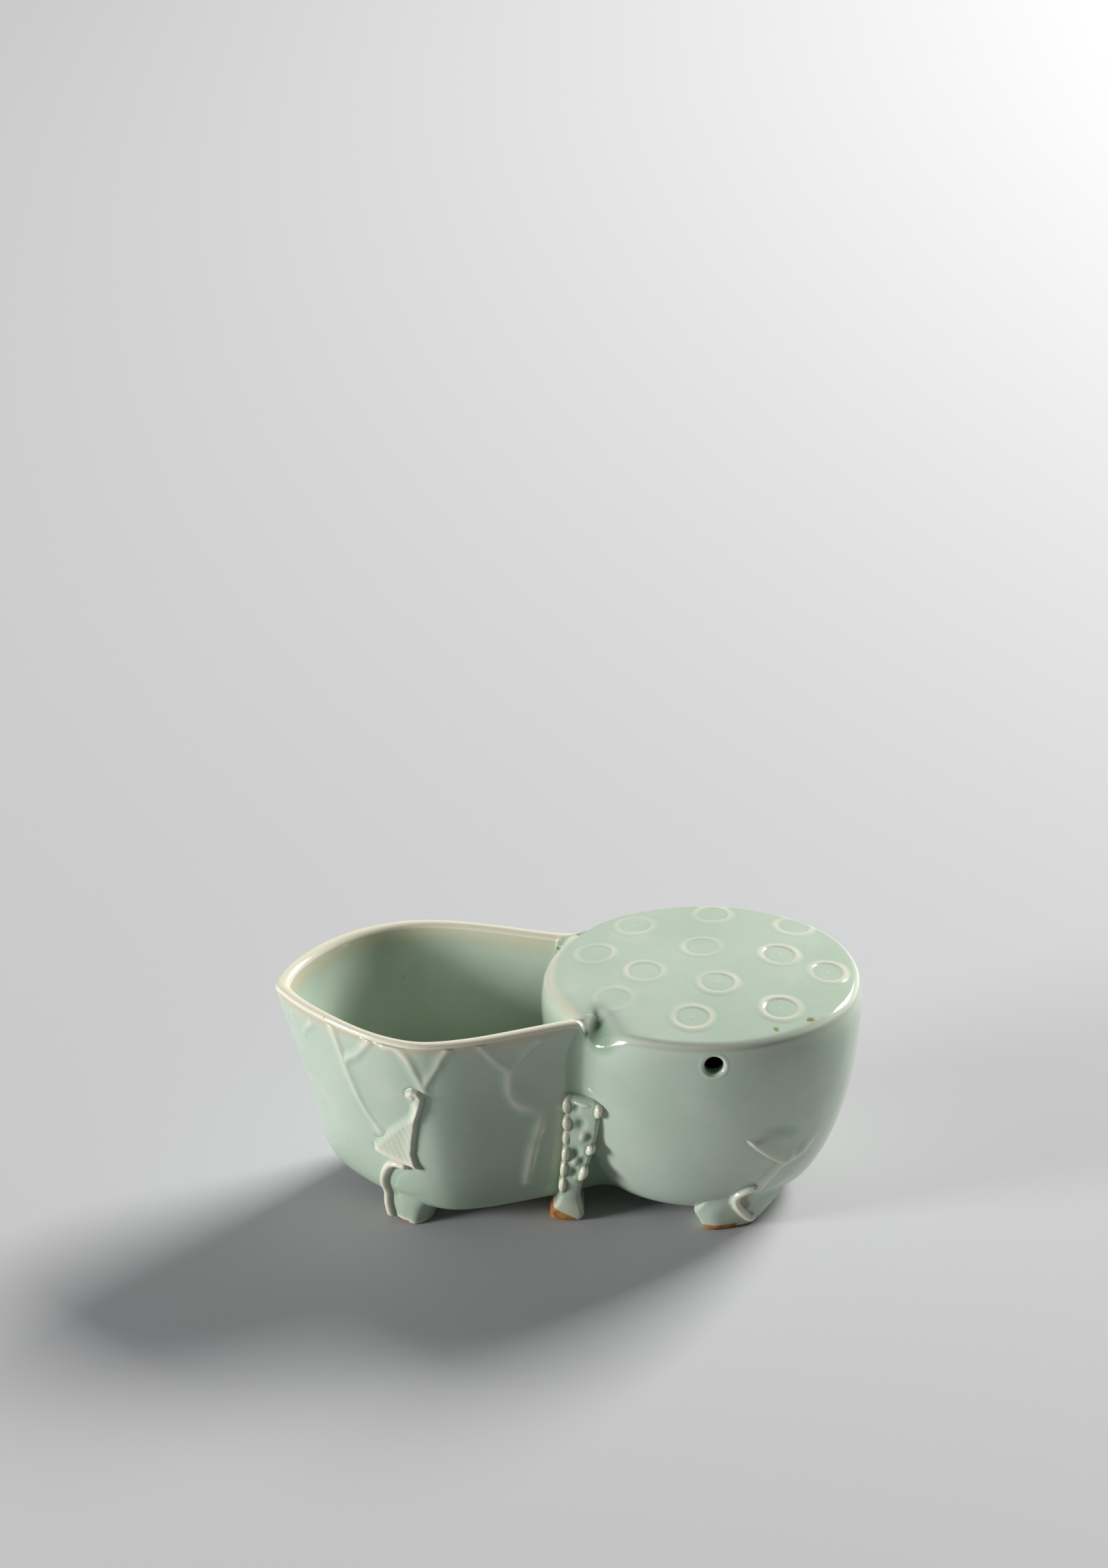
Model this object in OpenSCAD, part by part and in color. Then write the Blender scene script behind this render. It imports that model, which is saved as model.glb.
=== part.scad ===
// Water dropper for the writing desk: a lotus seed pod, closed as a water
// chamber, luted to an open pointed lotus leaf cup on small leaf feet.
// Each sub-part is one piece of clay as the potter joins it. Pieces meet on
// shared faces: slab floors and the lid sit in shallow rebates, and every
// applied relief is cut to the wall it is pressed on.
// +X runs to the pod, -X to the tip of the leaf, +Z up, z=0 on the table.

/* [Overall] */
// length over the leaf tip and the pod
overall_len = 104; // [96:0.5:112]
// height of the cup lip above the table
rim_z = 42; // [39:0.5:46]
// height of the undersides of both bowls above the table
base_z = 3.2; // [2.6:0.1:4.2]
// clay thickness of both walls
wall_t = 2.6; // [2.3:0.1:3.2]
// thickness of the slab floors
floor_t = 2.8; // [2.4:0.1:3.4]

/* [Seed pod] */
// length of the pod at its shoulder
pod_len = 56.2; // [53:0.2:60]
// width of the pod at its shoulder
pod_wid = 49.6; // [46:0.2:53]
// swell of the pod's belly, as a share of its shoulder
pod_swell = 1.015; // [1:0.005:1.04]
// size of the pod's underside, as a share of its shoulder
pod_heel = 0.62; // [0.56:0.01:0.68]

/* [Pod lid] */
// height of the lid's seat below the lip of the cup
lid_seat = 1.4; // [1.1:0.1:1.6]
// rise of the lid's crown above its soft edge
lid_crown = 1.75; // [1.2:0.05:2.4]
// depth of the rebate that holds the lid in the wall
lid_rebate = 0.8; // [0.6:0.1:0.9]

/* [Stamped seeds] */
// size over one seed ring
seed_d = 7.8; // [7:0.1:8.2]
// width of the ring's raised line
seed_line = 0.9; // [0.7:0.05:1.1]
// height of the raised line
seed_h = 0.35; // [0.25:0.05:0.5]
// size of the dot in the middle of a ring
seed_dot = 1.3; // [1:0.1:1.8]

/* [Water holes] */
// size of the two holes through the pod's wall
hole_d = 3.3; // [3:0.1:3.6]
// depth of the hole's middle below the lip of the cup
hole_drop = 4.1; // [3.9:0.1:6]

/* [Leaf cup] */
// width of the cup at its widest
cup_wid = 44.4; // [42:0.2:47]
// length from the tip to the widest place
cup_belly = 26.5; // [24:0.5:29]
// width of the cup where it meets the pod
neck_wid = 30.6; // [28:0.2:33]
// thickness of the cup's lip
lip_t = 2; // [1.8:0.1:2.4]
// size of the cup's underside, as a share of its lip
cup_heel = 0.64; // [0.58:0.01:0.7]

/* [Leaf ribs] */
// width of a rib where it leaves the wall
rib_w = 1.7; // [1.4:0.1:2.1]
// height of a rib above the wall
rib_h = 0.5; // [0.35:0.05:0.8]

/* [Folded leaves and feet] */
// lift of the folded leaf tips off the wall
fold_h = 1.5; // [1.1:0.1:2]
// lift of the curled edges that run down into the feet
curl_h = 1.4; // [1:0.1:1.8]

/* [Thorny stalk] */
// height of the stalk's top above the table
stalk_top = 26.8; // [24:0.2:30]
// size of the thorns on the stalk
thorn_d = 1.9; // [1.5:0.1:2.3]

/* [Output] */
// sub-part to draw, or all

/* [Hidden] */
// steps along one side of the leaf outline, tip to widest and widest to neck
steps_a = 14;
steps_b = 10;
// sides of the pod's ellipse
pod_n = 64;
// middle of the pod, tip, widest place and neck of the leaf along X; the pod's belly and the rounded
// tip reach unequally past their nominal ends, so both move by centre_x to centre the whole piece
centre_x = -0.36;
pod_x = overall_len / 2 - pod_len / 2 + centre_x;
tip_x = -overall_len / 2 + centre_x;
belly_x = tip_x + cup_belly;
neck_x = pod_x - 0.765 * pod_len / 2;
// middle that the leaf outline shrinks towards on its way down
cup_cx = neck_x - 10.4;
// height of the bowls, and of the joints between their pieces
bowl_h = rim_z - base_z;
seat_z = rim_z - lid_seat;
pod_split = base_z + floor_t;
cup_split = base_z + floor_t + 0.3;
hole_z = rim_z - hole_drop;
// height that pads of the floors stand up inside the walls
pad_h = 0.9;
// room for slip between the cup's floor and the pod
floor_gap = 0.2;

// node names in the order they are built

// Curves and profiles

// point at t on the cubic through a and d with handles b and c
function bz(a, b, c, d, t) = pow(1 - t, 3) * a + 3 * t * pow(1 - t, 2) * b + 3 * t * t * (1 - t) * c + t * t * t * d;

// direction of that cubic at t
function bz_dir(a, b, c, d, t) = (1 - t) * (1 - t) * (b - a) + 2 * t * (1 - t) * (c - b) + t * t * (d - c);

// vector of length one along v
function unit(v) = v / norm(v);

// lists joined end to end
function flat(l) = [for (a = l) for (b = a) b];

// share of the lip's size at each height of the cup, heel to lip
cup_prof = concat(
    [for (i = [0:16])
        [bz(base_z, base_z + 0.6, base_z + 0.28 * bowl_h, base_z + 0.54 * bowl_h, i / 16),
         bz(cup_heel, 0.83, 0.8, 0.88, i / 16)]],
    [[rim_z, 1]]
);

// share of the shoulder's size at each height of the pod, heel to shoulder
pod_prof = concat(
    [for (i = [0:16])
        [bz(base_z, base_z + 1.6, base_z + 0.43 * bowl_h, base_z + 0.845 * bowl_h, i / 16),
         bz(pod_heel, 0.81, pod_swell - 0.025, pod_swell, i / 16)]],
    [for (i = [1:8])
        [bz(base_z + 0.845 * bowl_h, base_z + 0.9 * bowl_h, base_z + 0.95 * bowl_h, rim_z, i / 8),
         bz(pod_swell, pod_swell + 0.003, pod_swell - 0.011, pod_swell - 0.03, i / 8)]]
);

function cup_s(z) = lookup(z, cup_prof);
function pod_s(z) = lookup(z, pod_prof);

// handles of one side of the leaf outline, set in by d; side is -1 front, 1 back
function cup_ctrl_a(side, d) = [
    [tip_x + 1.3 * d, 0],
    [tip_x + 1 + 1.2 * d, side * (6.5 + 2.5 * side) * (1 - 0.07 * d)],
    [belly_x - 12 - side + 0.45 * d, side * (cup_wid / 2 - d)],
    [belly_x, side * (cup_wid / 2 - d)]
];

function cup_ctrl_b(side, d) = [
    [belly_x, side * (cup_wid / 2 - d)],
    [belly_x + 7.5, side * (cup_wid / 2 - d)],
    [neck_x - 10.5 - 0.2 * d, side * (neck_wid / 2 - 0.3 * side + 2.6 - 0.95 * d)],
    [neck_x - 0.3 * d, side * (neck_wid / 2 - 0.3 * side - 0.95 * d)]
];

// point at t on the outline: 0 tip, 1 widest, 2 neck, 3 inside the pod
function cup_flat(side, t, d) =
    t <= 1 ? (let (c = cup_ctrl_a(side, d)) bz(c[0], c[1], c[2], c[3], t)) :
    t <= 2 ? (let (c = cup_ctrl_b(side, d)) bz(c[0], c[1], c[2], c[3], t - 1)) :
    cup_ctrl_b(side, d)[3] + [16, -6 * side] * (t - 2);

// direction of the outline at t
function cup_dir(side, t) =
    t <= 1 ? (let (c = cup_ctrl_a(side, 0)) unit(bz_dir(c[0], c[1], c[2], c[3], t))) :
    t <= 2 ? (let (c = cup_ctrl_b(side, 0)) unit(bz_dir(c[0], c[1], c[2], c[3], t - 1))) :
    unit([16, -6 * side]);

// outward direction in plan
function cup_out(side, t) = let (v = cup_dir(side, t)) [-side * v[1], side * v[0]];

// point on the cup's outside at t and height z, pushed out by o; zs is the height its shape is taken at
function cup_pt(side, t, z, o, zs) =
    let (s = cup_s(zs), p = cup_flat(side, t, 0), n = cup_out(side, t))
    [cup_cx + (p[0] - cup_cx) * s + n[0] * o, p[1] * s + n[1] * o, z];

// the same on the pod, at angle a
function pod_pt(a, z, o, zs) =
    let (s = pod_s(zs), n = unit([cos(a) / pod_len, sin(a) / pod_wid]))
    [pod_x + pod_len / 2 * s * cos(a) + n[0] * o, pod_wid / 2 * s * sin(a) + n[1] * o, z];

// Closed rings and lofts

// the t values of one side of the leaf, tip to neck and on into the pod
side_t = concat([for (i = [0:steps_a]) i / steps_a], [for (i = [1:steps_b]) 1 + i / steps_b], [2.5, 3]);

// leaf outline at height z, shaped as at height zs, set in by d
function cup_ring(z, zs, d) =
    let (s = cup_s(zs), m = len(side_t) - 1)
    concat(
        [for (i = [m:-1:0]) let (p = cup_flat(1, side_t[i], d / s)) [cup_cx + (p[0] - cup_cx) * s, p[1] * s, z]],
        [for (i = [1:m]) let (p = cup_flat(-1, side_t[i], d / s)) [cup_cx + (p[0] - cup_cx) * s, p[1] * s, z]]
    );

// pod outline at height z, shaped as at height zs, set in by d
function pod_ring(z, zs, d) =
    let (s = pod_s(zs))
    [for (i = [0:pod_n - 1]) [
        pod_x + (pod_len / 2 * s - d) * cos(i * 360 / pod_n),
        (pod_wid / 2 * s - d) * sin(i * 360 / pod_n),
        z]];

// faces of the strip between ring k and ring j of n points
function strip(k, j, n) = flat([for (i = [0:n - 1])
    let (i2 = (i + 1) % n)
    [[k * n + i, j * n + i2, k * n + i2], [k * n + i, j * n + i, j * n + i2]]]);

// solid through counter-clockwise rings stacked upwards, closed by its end rings
module loft(rings) {
    n = len(rings[0]);
    m = len(rings);
    polyhedron(
        points = flat(rings),
        faces = concat(
            [[for (i = [0:n - 1]) i]],
            [[for (i = [n - 1:-1:0]) (m - 1) * n + i]],
            flat([for (k = [0:m - 2]) strip(k, k + 1, n)])
        ),
        convexity = 8
    );
}

// ring-shaped wall: rings go up the outside, over the lip and down the inside
module wall_loft(rings) {
    n = len(rings[0]);
    m = len(rings);
    polyhedron(
        points = flat(rings),
        faces = flat([for (k = [0:m - 1]) strip(k, (k + 1) % m, n)]),
        convexity = 8
    );
}

// heights between z0 and z1 at the given shares
function levels(z0, z1, shares) = [for (f = shares) z0 + (z1 - z0) * f];

// The pod: floor, wall and lid

// inside face of the pod's wall: thicker at the heel, as thrown
function pod_in(z) = lookup(z, [[pod_split, wall_t + 1.8], [pod_split + pad_h, wall_t + 1.2],
    [pod_split + 3.5, wall_t + 0.2], [pod_split + 8, wall_t], [seat_z, wall_t]]);

// outside of the closed pod with its lid, used to cut what meets it
module pod_solid() {
    loft(concat(
        [for (z = pod_low_z) pod_ring(z, z, 0)],
        [for (z = pod_high_z) pod_ring(z, z, 0)],
        [for (z = [rim_z + 6]) pod_ring(z, seat_z, 0)]
    ));
}

pod_low_z = levels(base_z, pod_split, [0, 0.05, 0.17, 0.42, 1]);
pod_high_z = levels(pod_split, seat_z, [0.04, 0.11, 0.2, 0.31, 0.45, 0.6, 0.75, 0.87, 0.95, 1]);
pod_inner_z = [seat_z, seat_z - lid_rebate, pod_split + 22, pod_split + 14, pod_split + 8, pod_split + 3.5,
    pod_split + pad_h, pod_split];

module pod_floor() {
    color("#b9cdb6")
        loft(concat(
            [for (z = pod_low_z) pod_ring(z, z, 0)],
            [for (z = [pod_split, pod_split + pad_h]) pod_ring(z, z, pod_in(z))]
        ));
}

module pod_wall() {
    color("#c2d6c0")
        difference() {
            wall_loft(concat(
                [pod_ring(pod_split, pod_split, 0)],
                [for (z = pod_high_z) pod_ring(z, z, 0)],
                [for (z = pod_inner_z) pod_ring(z, z, pod_in(z))]
            ));
            water_holes();
        }
}

// both holes lie on one line across the pod
module water_holes() {
    translate([pod_x, 0, hole_z])
        rotate([90, 0, 0])
        cylinder(d = hole_d, h = pod_wid + 20, center = true, $fn = 40);
}

// height of the lid's top at x and y from the pod's middle
dome_s = pod_swell - 0.075;
function dome_z(x, y) = rim_z + 0.05 + lid_crown
    * (1 - pow(2 * x / (pod_len * dome_s), 2) - pow(2 * y / (pod_wid * dome_s), 2));

// lid outline shrunk to f of the dome
function dome_ring(f) = [for (i = [0:pod_n - 1])
    let (x = pod_len / 2 * dome_s * f * cos(i * 360 / pod_n), y = pod_wid / 2 * dome_s * f * sin(i * 360 / pod_n))
    [pod_x + x, y, dome_z(x, y)]];

// ring of the lid's soft edge: share of the seat's height, share of the shoulder's size
function edge_ring(f, s) = [for (i = [0:pod_n - 1]) [
    pod_x + pod_len / 2 * s * cos(i * 360 / pod_n),
    pod_wid / 2 * s * sin(i * 360 / pod_n),
    seat_z + lid_seat * f]];

// seeds: place of each stamp from the pod's middle, as shares of the half sizes
seeds = [[-0.67, 0.255], [-0.375, -0.06], [-0.39, 0.65], [0.115, 0.785], [0.01, 0.26], [0.07, -0.255],
    [0.49, 0.135], [0.615, 0.59], [0.78, -0.08], [0.44, -0.57], [-0.115, -0.67], [-0.585, -0.385]];

// puts its child on the lid at one seed, standing square to the dome
module on_dome(q) {
    x = q[0] * pod_len / 2;
    y = q[1] * pod_wid / 2;
    gx = 8 * lid_crown * x / pow(pod_len * dome_s, 2);
    gy = 8 * lid_crown * y / pow(pod_wid * dome_s, 2);
    translate([pod_x + x, y, dome_z(x, y)])
        rotate([0, 0, atan2(gy, gx)])
        rotate([0, atan(norm([gx, gy])), 0])
        children();
}

// one stamped seed: a raised ring line round a small dot
module seed() {
    rotate_extrude($fn = 24)
        polygon([
            [seed_d / 2 - seed_line, -0.5],
            [seed_d / 2, -0.5],
            [seed_d / 2 - 0.25 * seed_line, seed_h],
            [seed_d / 2 - 0.75 * seed_line, seed_h]
        ]);
    translate([0, 0, -0.5])
        cylinder(d1 = seed_dot, d2 = 0.6 * seed_dot, h = seed_h + 0.45, $fn = 8);
}

module pod_lid() {
    color("#cadcc6")
        union() {
            difference() {
                loft(concat(
                    [for (z = [seat_z - lid_rebate, seat_z]) pod_ring(z, z, pod_in(z))],
                    [pod_ring(seat_z, seat_z, 0)],
                    [edge_ring(0.45, pod_swell - 0.018), edge_ring(0.75, pod_swell - 0.032)],
                    [edge_ring(0.93, pod_swell - 0.05)],
                    [for (f = [1, 0.86, 0.7, 0.52, 0.34, 0.17, 0.03]) dome_ring(f)]
                ));
                water_holes();
            }
            for (q = seeds)
                on_dome(q)
                    seed();
        }
}

// The leaf cup: floor and wall

cup_low_z = levels(base_z, cup_split, [0, 0.04, 0.14, 0.34, 0.62, 1]);
cup_high_z = levels(cup_split, rim_z - 1, [0.05, 0.12, 0.21, 0.32, 0.47, 0.64, 0.82, 1]);
cup_inner_z = [rim_z - 5, rim_z - 11, cup_split + 18, cup_split + 11, cup_split + 6, cup_split + 3,
    cup_split + pad_h, cup_split];

function cup_in(z) = lookup(z, [[cup_split, wall_t + 1.7], [cup_split + pad_h, wall_t + 1.1],
    [cup_split + 3, wall_t + 0.3], [cup_split + 6, wall_t], [rim_z - 11, wall_t], [rim_z - 1, lip_t]]);

// outside of the cup filled up to above its lip, used to cut the relief
module cup_solid() {
    loft(concat(
        [for (z = cup_low_z) cup_ring(z, z, 0)],
        [for (z = cup_high_z) cup_ring(z, z, 0)],
        [cup_ring(rim_z + 3, rim_z - 1, 0)]
    ));
}

// share of the way from neck to inside the pod where a line from p along v meets the ellipse of half sizes a and b
function meet(p, v, a, b) =
    let (
        x = p[0] - pod_x,
        e = pow(v[0] / a, 2) + pow(v[1] / b, 2),
        f = x * v[0] / (a * a) + p[1] * v[1] / (b * b),
        g = pow(x / a, 2) + pow(p[1] / b, 2) - 1
    )
    (-f - sqrt(max(f * f - e * g, 0))) / e;

// leaf outline of the floor at height z, set in by d: it stops floor_gap short of the pod and follows it round
function floor_ring(z, d) =
    let (
        s = cup_s(z),
        a = pod_len / 2 * pod_s(z) + floor_gap,
        b = pod_wid / 2 * pod_s(z) + floor_gap,
        n = steps_a + steps_b,
        back = [for (i = [0:n]) let (p = cup_flat(1, side_t[i], d / s)) [cup_cx + (p[0] - cup_cx) * s, p[1] * s]],
        front = [for (i = [0:n]) let (p = cup_flat(-1, side_t[i], d / s)) [cup_cx + (p[0] - cup_cx) * s, p[1] * s]],
        pb = back[n] + [16, -6] * s * meet(back[n], [16, -6] * s, a, b),
        pf = front[n] + [16, 6] * s * meet(front[n], [16, 6] * s, a, b),
        ab = atan2(pb[1] / b, (pod_x - pb[0]) / a),
        af = atan2(pf[1] / b, (pod_x - pf[0]) / a)
    )
    concat(
        [for (i = [n:-1:0]) [back[i][0], back[i][1], z]],
        [for (i = [1:n]) [front[i][0], front[i][1], z]],
        [for (i = [0:10])
            let (q = af + (ab - af) * i / 10)
            [pod_x - a * cos(q), b * sin(q), z]]
    );

module cup_floor() {
    color("#a9c0a6")
        loft(concat(
            [for (z = cup_low_z) floor_ring(z, 0)],
            [for (z = [cup_split, cup_split + pad_h]) floor_ring(z, cup_in(z))]
        ));
}

module cup_wall() {
    color("#bdd2ba")
        difference() {
            wall_loft(concat(
                [cup_ring(cup_split, cup_split, 0)],
                [for (z = cup_high_z) cup_ring(z, z, 0)],
                [cup_ring(rim_z - 0.4, rim_z, 0.14 * lip_t), cup_ring(rim_z, rim_z, 0.36 * lip_t)],
                [cup_ring(rim_z, rim_z, 0.66 * lip_t), cup_ring(rim_z - 0.4, rim_z, 0.87 * lip_t)],
                [cup_ring(rim_z - 1, rim_z - 1, lip_t)],
                [for (z = cup_inner_z) cup_ring(z, z, cup_in(z))]
            ));
            pod_solid();
        }
}

// Ribs of the leaf

// raised strip along path, a list of [t, share of the bowl's height] on one side of the cup;
// w0 and w1 scale its width at its two ends
module rib_strip(side, path, w0, w1) {
    n = len(path);
    pts = [for (p = path) let (z = base_z + p[1] * bowl_h) cup_pt(side, p[0], z, 0, z)];
    nrm = [for (p = path) let (o = cup_out(side, p[0])) [o[0], o[1], 0]];
    rings = [for (i = [0:n - 1])
        let (
            a = pts[max(i - 1, 0)],
            b = pts[min(i + 1, n - 1)],
            l = unit(cross(b - a, nrm[i])),
            w = rib_w * (w0 + (w1 - w0) * i / (n - 1))
        )
        [
            pts[i] - l * w / 2 - nrm[i] * 0.8,
            pts[i] - l * w / 2 + nrm[i] * 0.04,
            pts[i] - l * w / 5 + nrm[i] * rib_h,
            pts[i] + l * w / 5 + nrm[i] * rib_h,
            pts[i] + l * w / 2 + nrm[i] * 0.04,
            pts[i] + l * w / 2 - nrm[i] * 0.8
        ]];
    loft(rings);
}

module rib_left() {
    color("#e6e6d2")
        difference() {
            union() {
                rib_strip(-1, [[0.5, 0.93], [0.52, 0.83], [0.54, 0.7], [0.555, 0.58], [0.6, 0.47], [0.65, 0.38]], 0.8, 0.9);
                rib_strip(-1, [[0.54, 0.78], [0.58, 0.83], [0.65, 0.9], [0.72, 0.955]], 0.6, 0.9);
            }
            cup_solid();
        }
}

module rib_middle() {
    color("#e6e6d2")
        difference() {
            union() {
                rib_strip(-1, [[0.83, 0.97], [0.88, 0.94], [0.93, 0.88], [0.98, 0.79], [1, 0.715]], 1, 0.9);
                rib_strip(-1, [[1.18, 0.96], [1.12, 0.915], [1.05, 0.85], [1.01, 0.77], [1, 0.74]], 1, 0.8);
            }
            cup_solid();
        }
}

module rib_right() {
    color("#e6e6d2")
        difference() {
            union() {
                rib_strip(-1, [[1.38, 0.95], [1.43, 0.9], [1.48, 0.84], [1.54, 0.79], [1.56, 0.77]], 1, 0.8);
                rib_strip(-1, [[1.73, 0.89], [1.67, 0.85], [1.6, 0.81], [1.555, 0.785], [1.54, 0.72],
                    [1.55, 0.67], [1.6, 0.6], [1.67, 0.555], [1.73, 0.525], [1.75, 0.47]], 0.9, 1);
                rib_strip(-1, [[1.745, 0.49], [1.74, 0.42], [1.72, 0.33], [1.69, 0.24], [1.66, 0.14]], 1, 0.7);
            }
            cup_solid();
        }
}

module rib_back_left() {
    color("#e6e6d2")
        difference() {
            union() {
                rib_strip(1, [[0.54, 0.95], [0.57, 0.84], [0.6, 0.7], [0.62, 0.57], [0.66, 0.45], [0.71, 0.35]], 0.9, 0.9);
                rib_strip(1, [[0.585, 0.76], [0.64, 0.83], [0.71, 0.9], [0.77, 0.955]], 0.6, 0.9);
            }
            cup_solid();
        }
}

module rib_back_right() {
    color("#e6e6d2")
        difference() {
            union() {
                rib_strip(1, [[1.2, 0.96], [1.26, 0.9], [1.32, 0.83], [1.37, 0.77], [1.38, 0.68],
                    [1.36, 0.58], [1.38, 0.48], [1.42, 0.38], [1.43, 0.26]], 1, 0.7);
                rib_strip(1, [[1.58, 0.94], [1.5, 0.88], [1.42, 0.81], [1.375, 0.76]], 0.9, 0.7);
            }
            cup_solid();
        }
}

// Folded leaves and feet

// patch pressed on a wall. rows is a list of rows from the top down; each row is a list of
// [outer point, inner point] from left to right, and the solid lies between the two
module patch(rows) {
    m = len(rows);
    n = len(rows[0]);
    outer = flat([for (r = rows) [for (p = r) p[0]]]);
    inner = flat([for (r = rows) [for (p = r) p[1]]]);
    s = m * n;
    polyhedron(
        points = concat(outer, inner),
        faces = concat(
            flat([for (i = [0:m - 2]) flat([for (j = [0:n - 2]) [
                [i * n + j, i * n + j + 1, (i + 1) * n + j + 1],
                [i * n + j, (i + 1) * n + j + 1, (i + 1) * n + j],
                [s + i * n + j, s + (i + 1) * n + j + 1, s + i * n + j + 1],
                [s + i * n + j, s + (i + 1) * n + j, s + (i + 1) * n + j + 1]
            ]])]),
            flat([for (i = [0:m - 2]) [
                [i * n, (i + 1) * n, s + (i + 1) * n],
                [i * n, s + (i + 1) * n, s + i * n],
                [i * n + n - 1, s + (i + 1) * n + n - 1, (i + 1) * n + n - 1],
                [i * n + n - 1, s + i * n + n - 1, s + (i + 1) * n + n - 1]
            ]]),
            flat([for (j = [0:n - 2]) [
                [j, s + j + 1, j + 1],
                [j, s + j, s + j + 1],
                [(m - 1) * n + j, (m - 1) * n + j + 1, s + (m - 1) * n + j + 1],
                [(m - 1) * n + j, s + (m - 1) * n + j + 1, s + (m - 1) * n + j]
            ]])
        ),
        convexity = 6
    );
}

// row of a patch on the cup, from t0 at height share f0 to t1 at f1, lifts h across it, rooted 1.2 deep
function cup_row(side, t0, f0, t1, f1, h) = [for (j = [0:len(h) - 1])
    let (q = j / (len(h) - 1), t = t0 + (t1 - t0) * q, z = base_z + bowl_h * (f0 + (f1 - f0) * q))
    [cup_pt(side, t, z, h[j], z), cup_pt(side, t, z, -1.2, z)]];

// the same on the pod, from angle a0 to a1
function pod_row(a0, f0, a1, f1, h) = [for (j = [0:len(h) - 1])
    let (q = j / (len(h) - 1), a = a0 + (a1 - a0) * q, z = base_z + bowl_h * (f0 + (f1 - f0) * q))
    [pod_pt(a, z, h[j], z), pod_pt(a, z, -1.2, z)]];

module leaf_lappet() {
    color("#dfe3cf")
        difference() {
            patch([
                cup_row(-1, 0.87, 0.745, 0.94, 0.735, [0.3, 0.5, 0.5, 0.3]),
                cup_row(-1, 0.86, 0.7, 0.94, 0.69, [0.7 * fold_h, 0.9 * fold_h, 0.75 * fold_h, 0.3]),
                cup_row(-1, 0.845, 0.61, 0.9, 0.6, [0.3, 0.6 * fold_h, 0.7 * fold_h, 0.3]),
                cup_row(-1, 0.74, 0.51, 0.87, 0.52, [0.25, 0.4 * fold_h, 0.7 * fold_h, 0.3]),
                cup_row(-1, 0.665, 0.435, 0.845, 0.43, [0.3, 0.5 * fold_h, 0.75 * fold_h, 0.35]),
                cup_row(-1, 0.6, 0.36, 0.83, 0.33, [0.6 * fold_h, 0.8 * fold_h, 0.9 * fold_h, 0.4]),
                cup_row(-1, 0.6, 0.32, 0.86, 0.285, [0.7 * fold_h, fold_h, fold_h, 0.5 * fold_h])
            ]);
            cup_solid();
        }
}

module pod_lappet() {
    color("#dfe3cf")
        difference() {
            patch([
                pod_row(-76.5, 0.46, -50, 0.4, [0.2, 0.3, 0.35, 0.4, 0.5]),
                pod_row(-76, 0.45, -49, 0.37, [0.45 * fold_h, 0.3, 0.3, 0.4, 0.6]),
                pod_row(-75, 0.435, -47, 0.33, [0.65 * fold_h, 0.5 * fold_h, 0.4, 0.5, 0.7]),
                pod_row(-73, 0.41, -50, 0.28, [0.75 * fold_h, 0.9 * fold_h, 0.9 * fold_h, 0.8 * fold_h, 0.8])
            ]);
            pod_solid();
        }
}

// row of a foot: t0 to t1 on the cup at height z, shaped as at height zs, lifts h, rooted k deep
function foot_row(side, t0, t1, z, zs, h, k) = [for (j = [0:len(h) - 1])
    let (t = t0 + (t1 - t0) * j / (len(h) - 1))
    [cup_pt(side, t, z, h[j], zs), cup_pt(side, t, z, -k, zs)]];

function pod_foot_row(a0, a1, z, zs, h, k) = [for (j = [0:len(h) - 1])
    let (a = a0 + (a1 - a0) * j / (len(h) - 1))
    [pod_pt(a, z, h[j], zs), pod_pt(a, z, -k, zs)]];

// heel height that the feet hang from
heel_z = base_z + 2.6;

module leaf_foot_left() {
    color("#d3dcc4")
        difference() {
            patch([
                foot_row(-1, 0.67, 0.73, base_z + 10.5, base_z + 10.5, [0.5, 0.7 * curl_h, 0.6, 0.3, 0.2], 1.5),
                foot_row(-1, 0.62, 0.76, base_z + 9.4, base_z + 9.4, [0.9 * curl_h, curl_h, 0.5, 0.2, 0.2], 1.5),
                foot_row(-1, 0.59, 0.8, base_z + 7.2, base_z + 7.2, [curl_h, 0.8 * curl_h, 0.2, 0.2, 0.2], 1.5),
                foot_row(-1, 0.57, 0.84, base_z + 5, base_z + 5, [curl_h, 0.6 * curl_h, 0.3, 0.3, 0.2], 2),
                foot_row(-1, 0.555, 0.87, heel_z, heel_z, [0.8 * curl_h, 0.6, 0.4, 0.3, 0.2], 4),
                foot_row(-1, 0.56, 0.85, base_z, heel_z, [0.6, 0.2, 0.3, 0.2, -0.9], 5),
                foot_row(-1, 0.57, 0.82, 0.5 * base_z, heel_z, [0.7, -0.2, 0, 0.2, -1.4], 5),
                foot_row(-1, 0.58, 0.81, 0, heel_z, [-0.2, -0.8, -0.3, 0, -1.6], 4.6)
            ]);
            cup_solid();
        }
}

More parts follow.
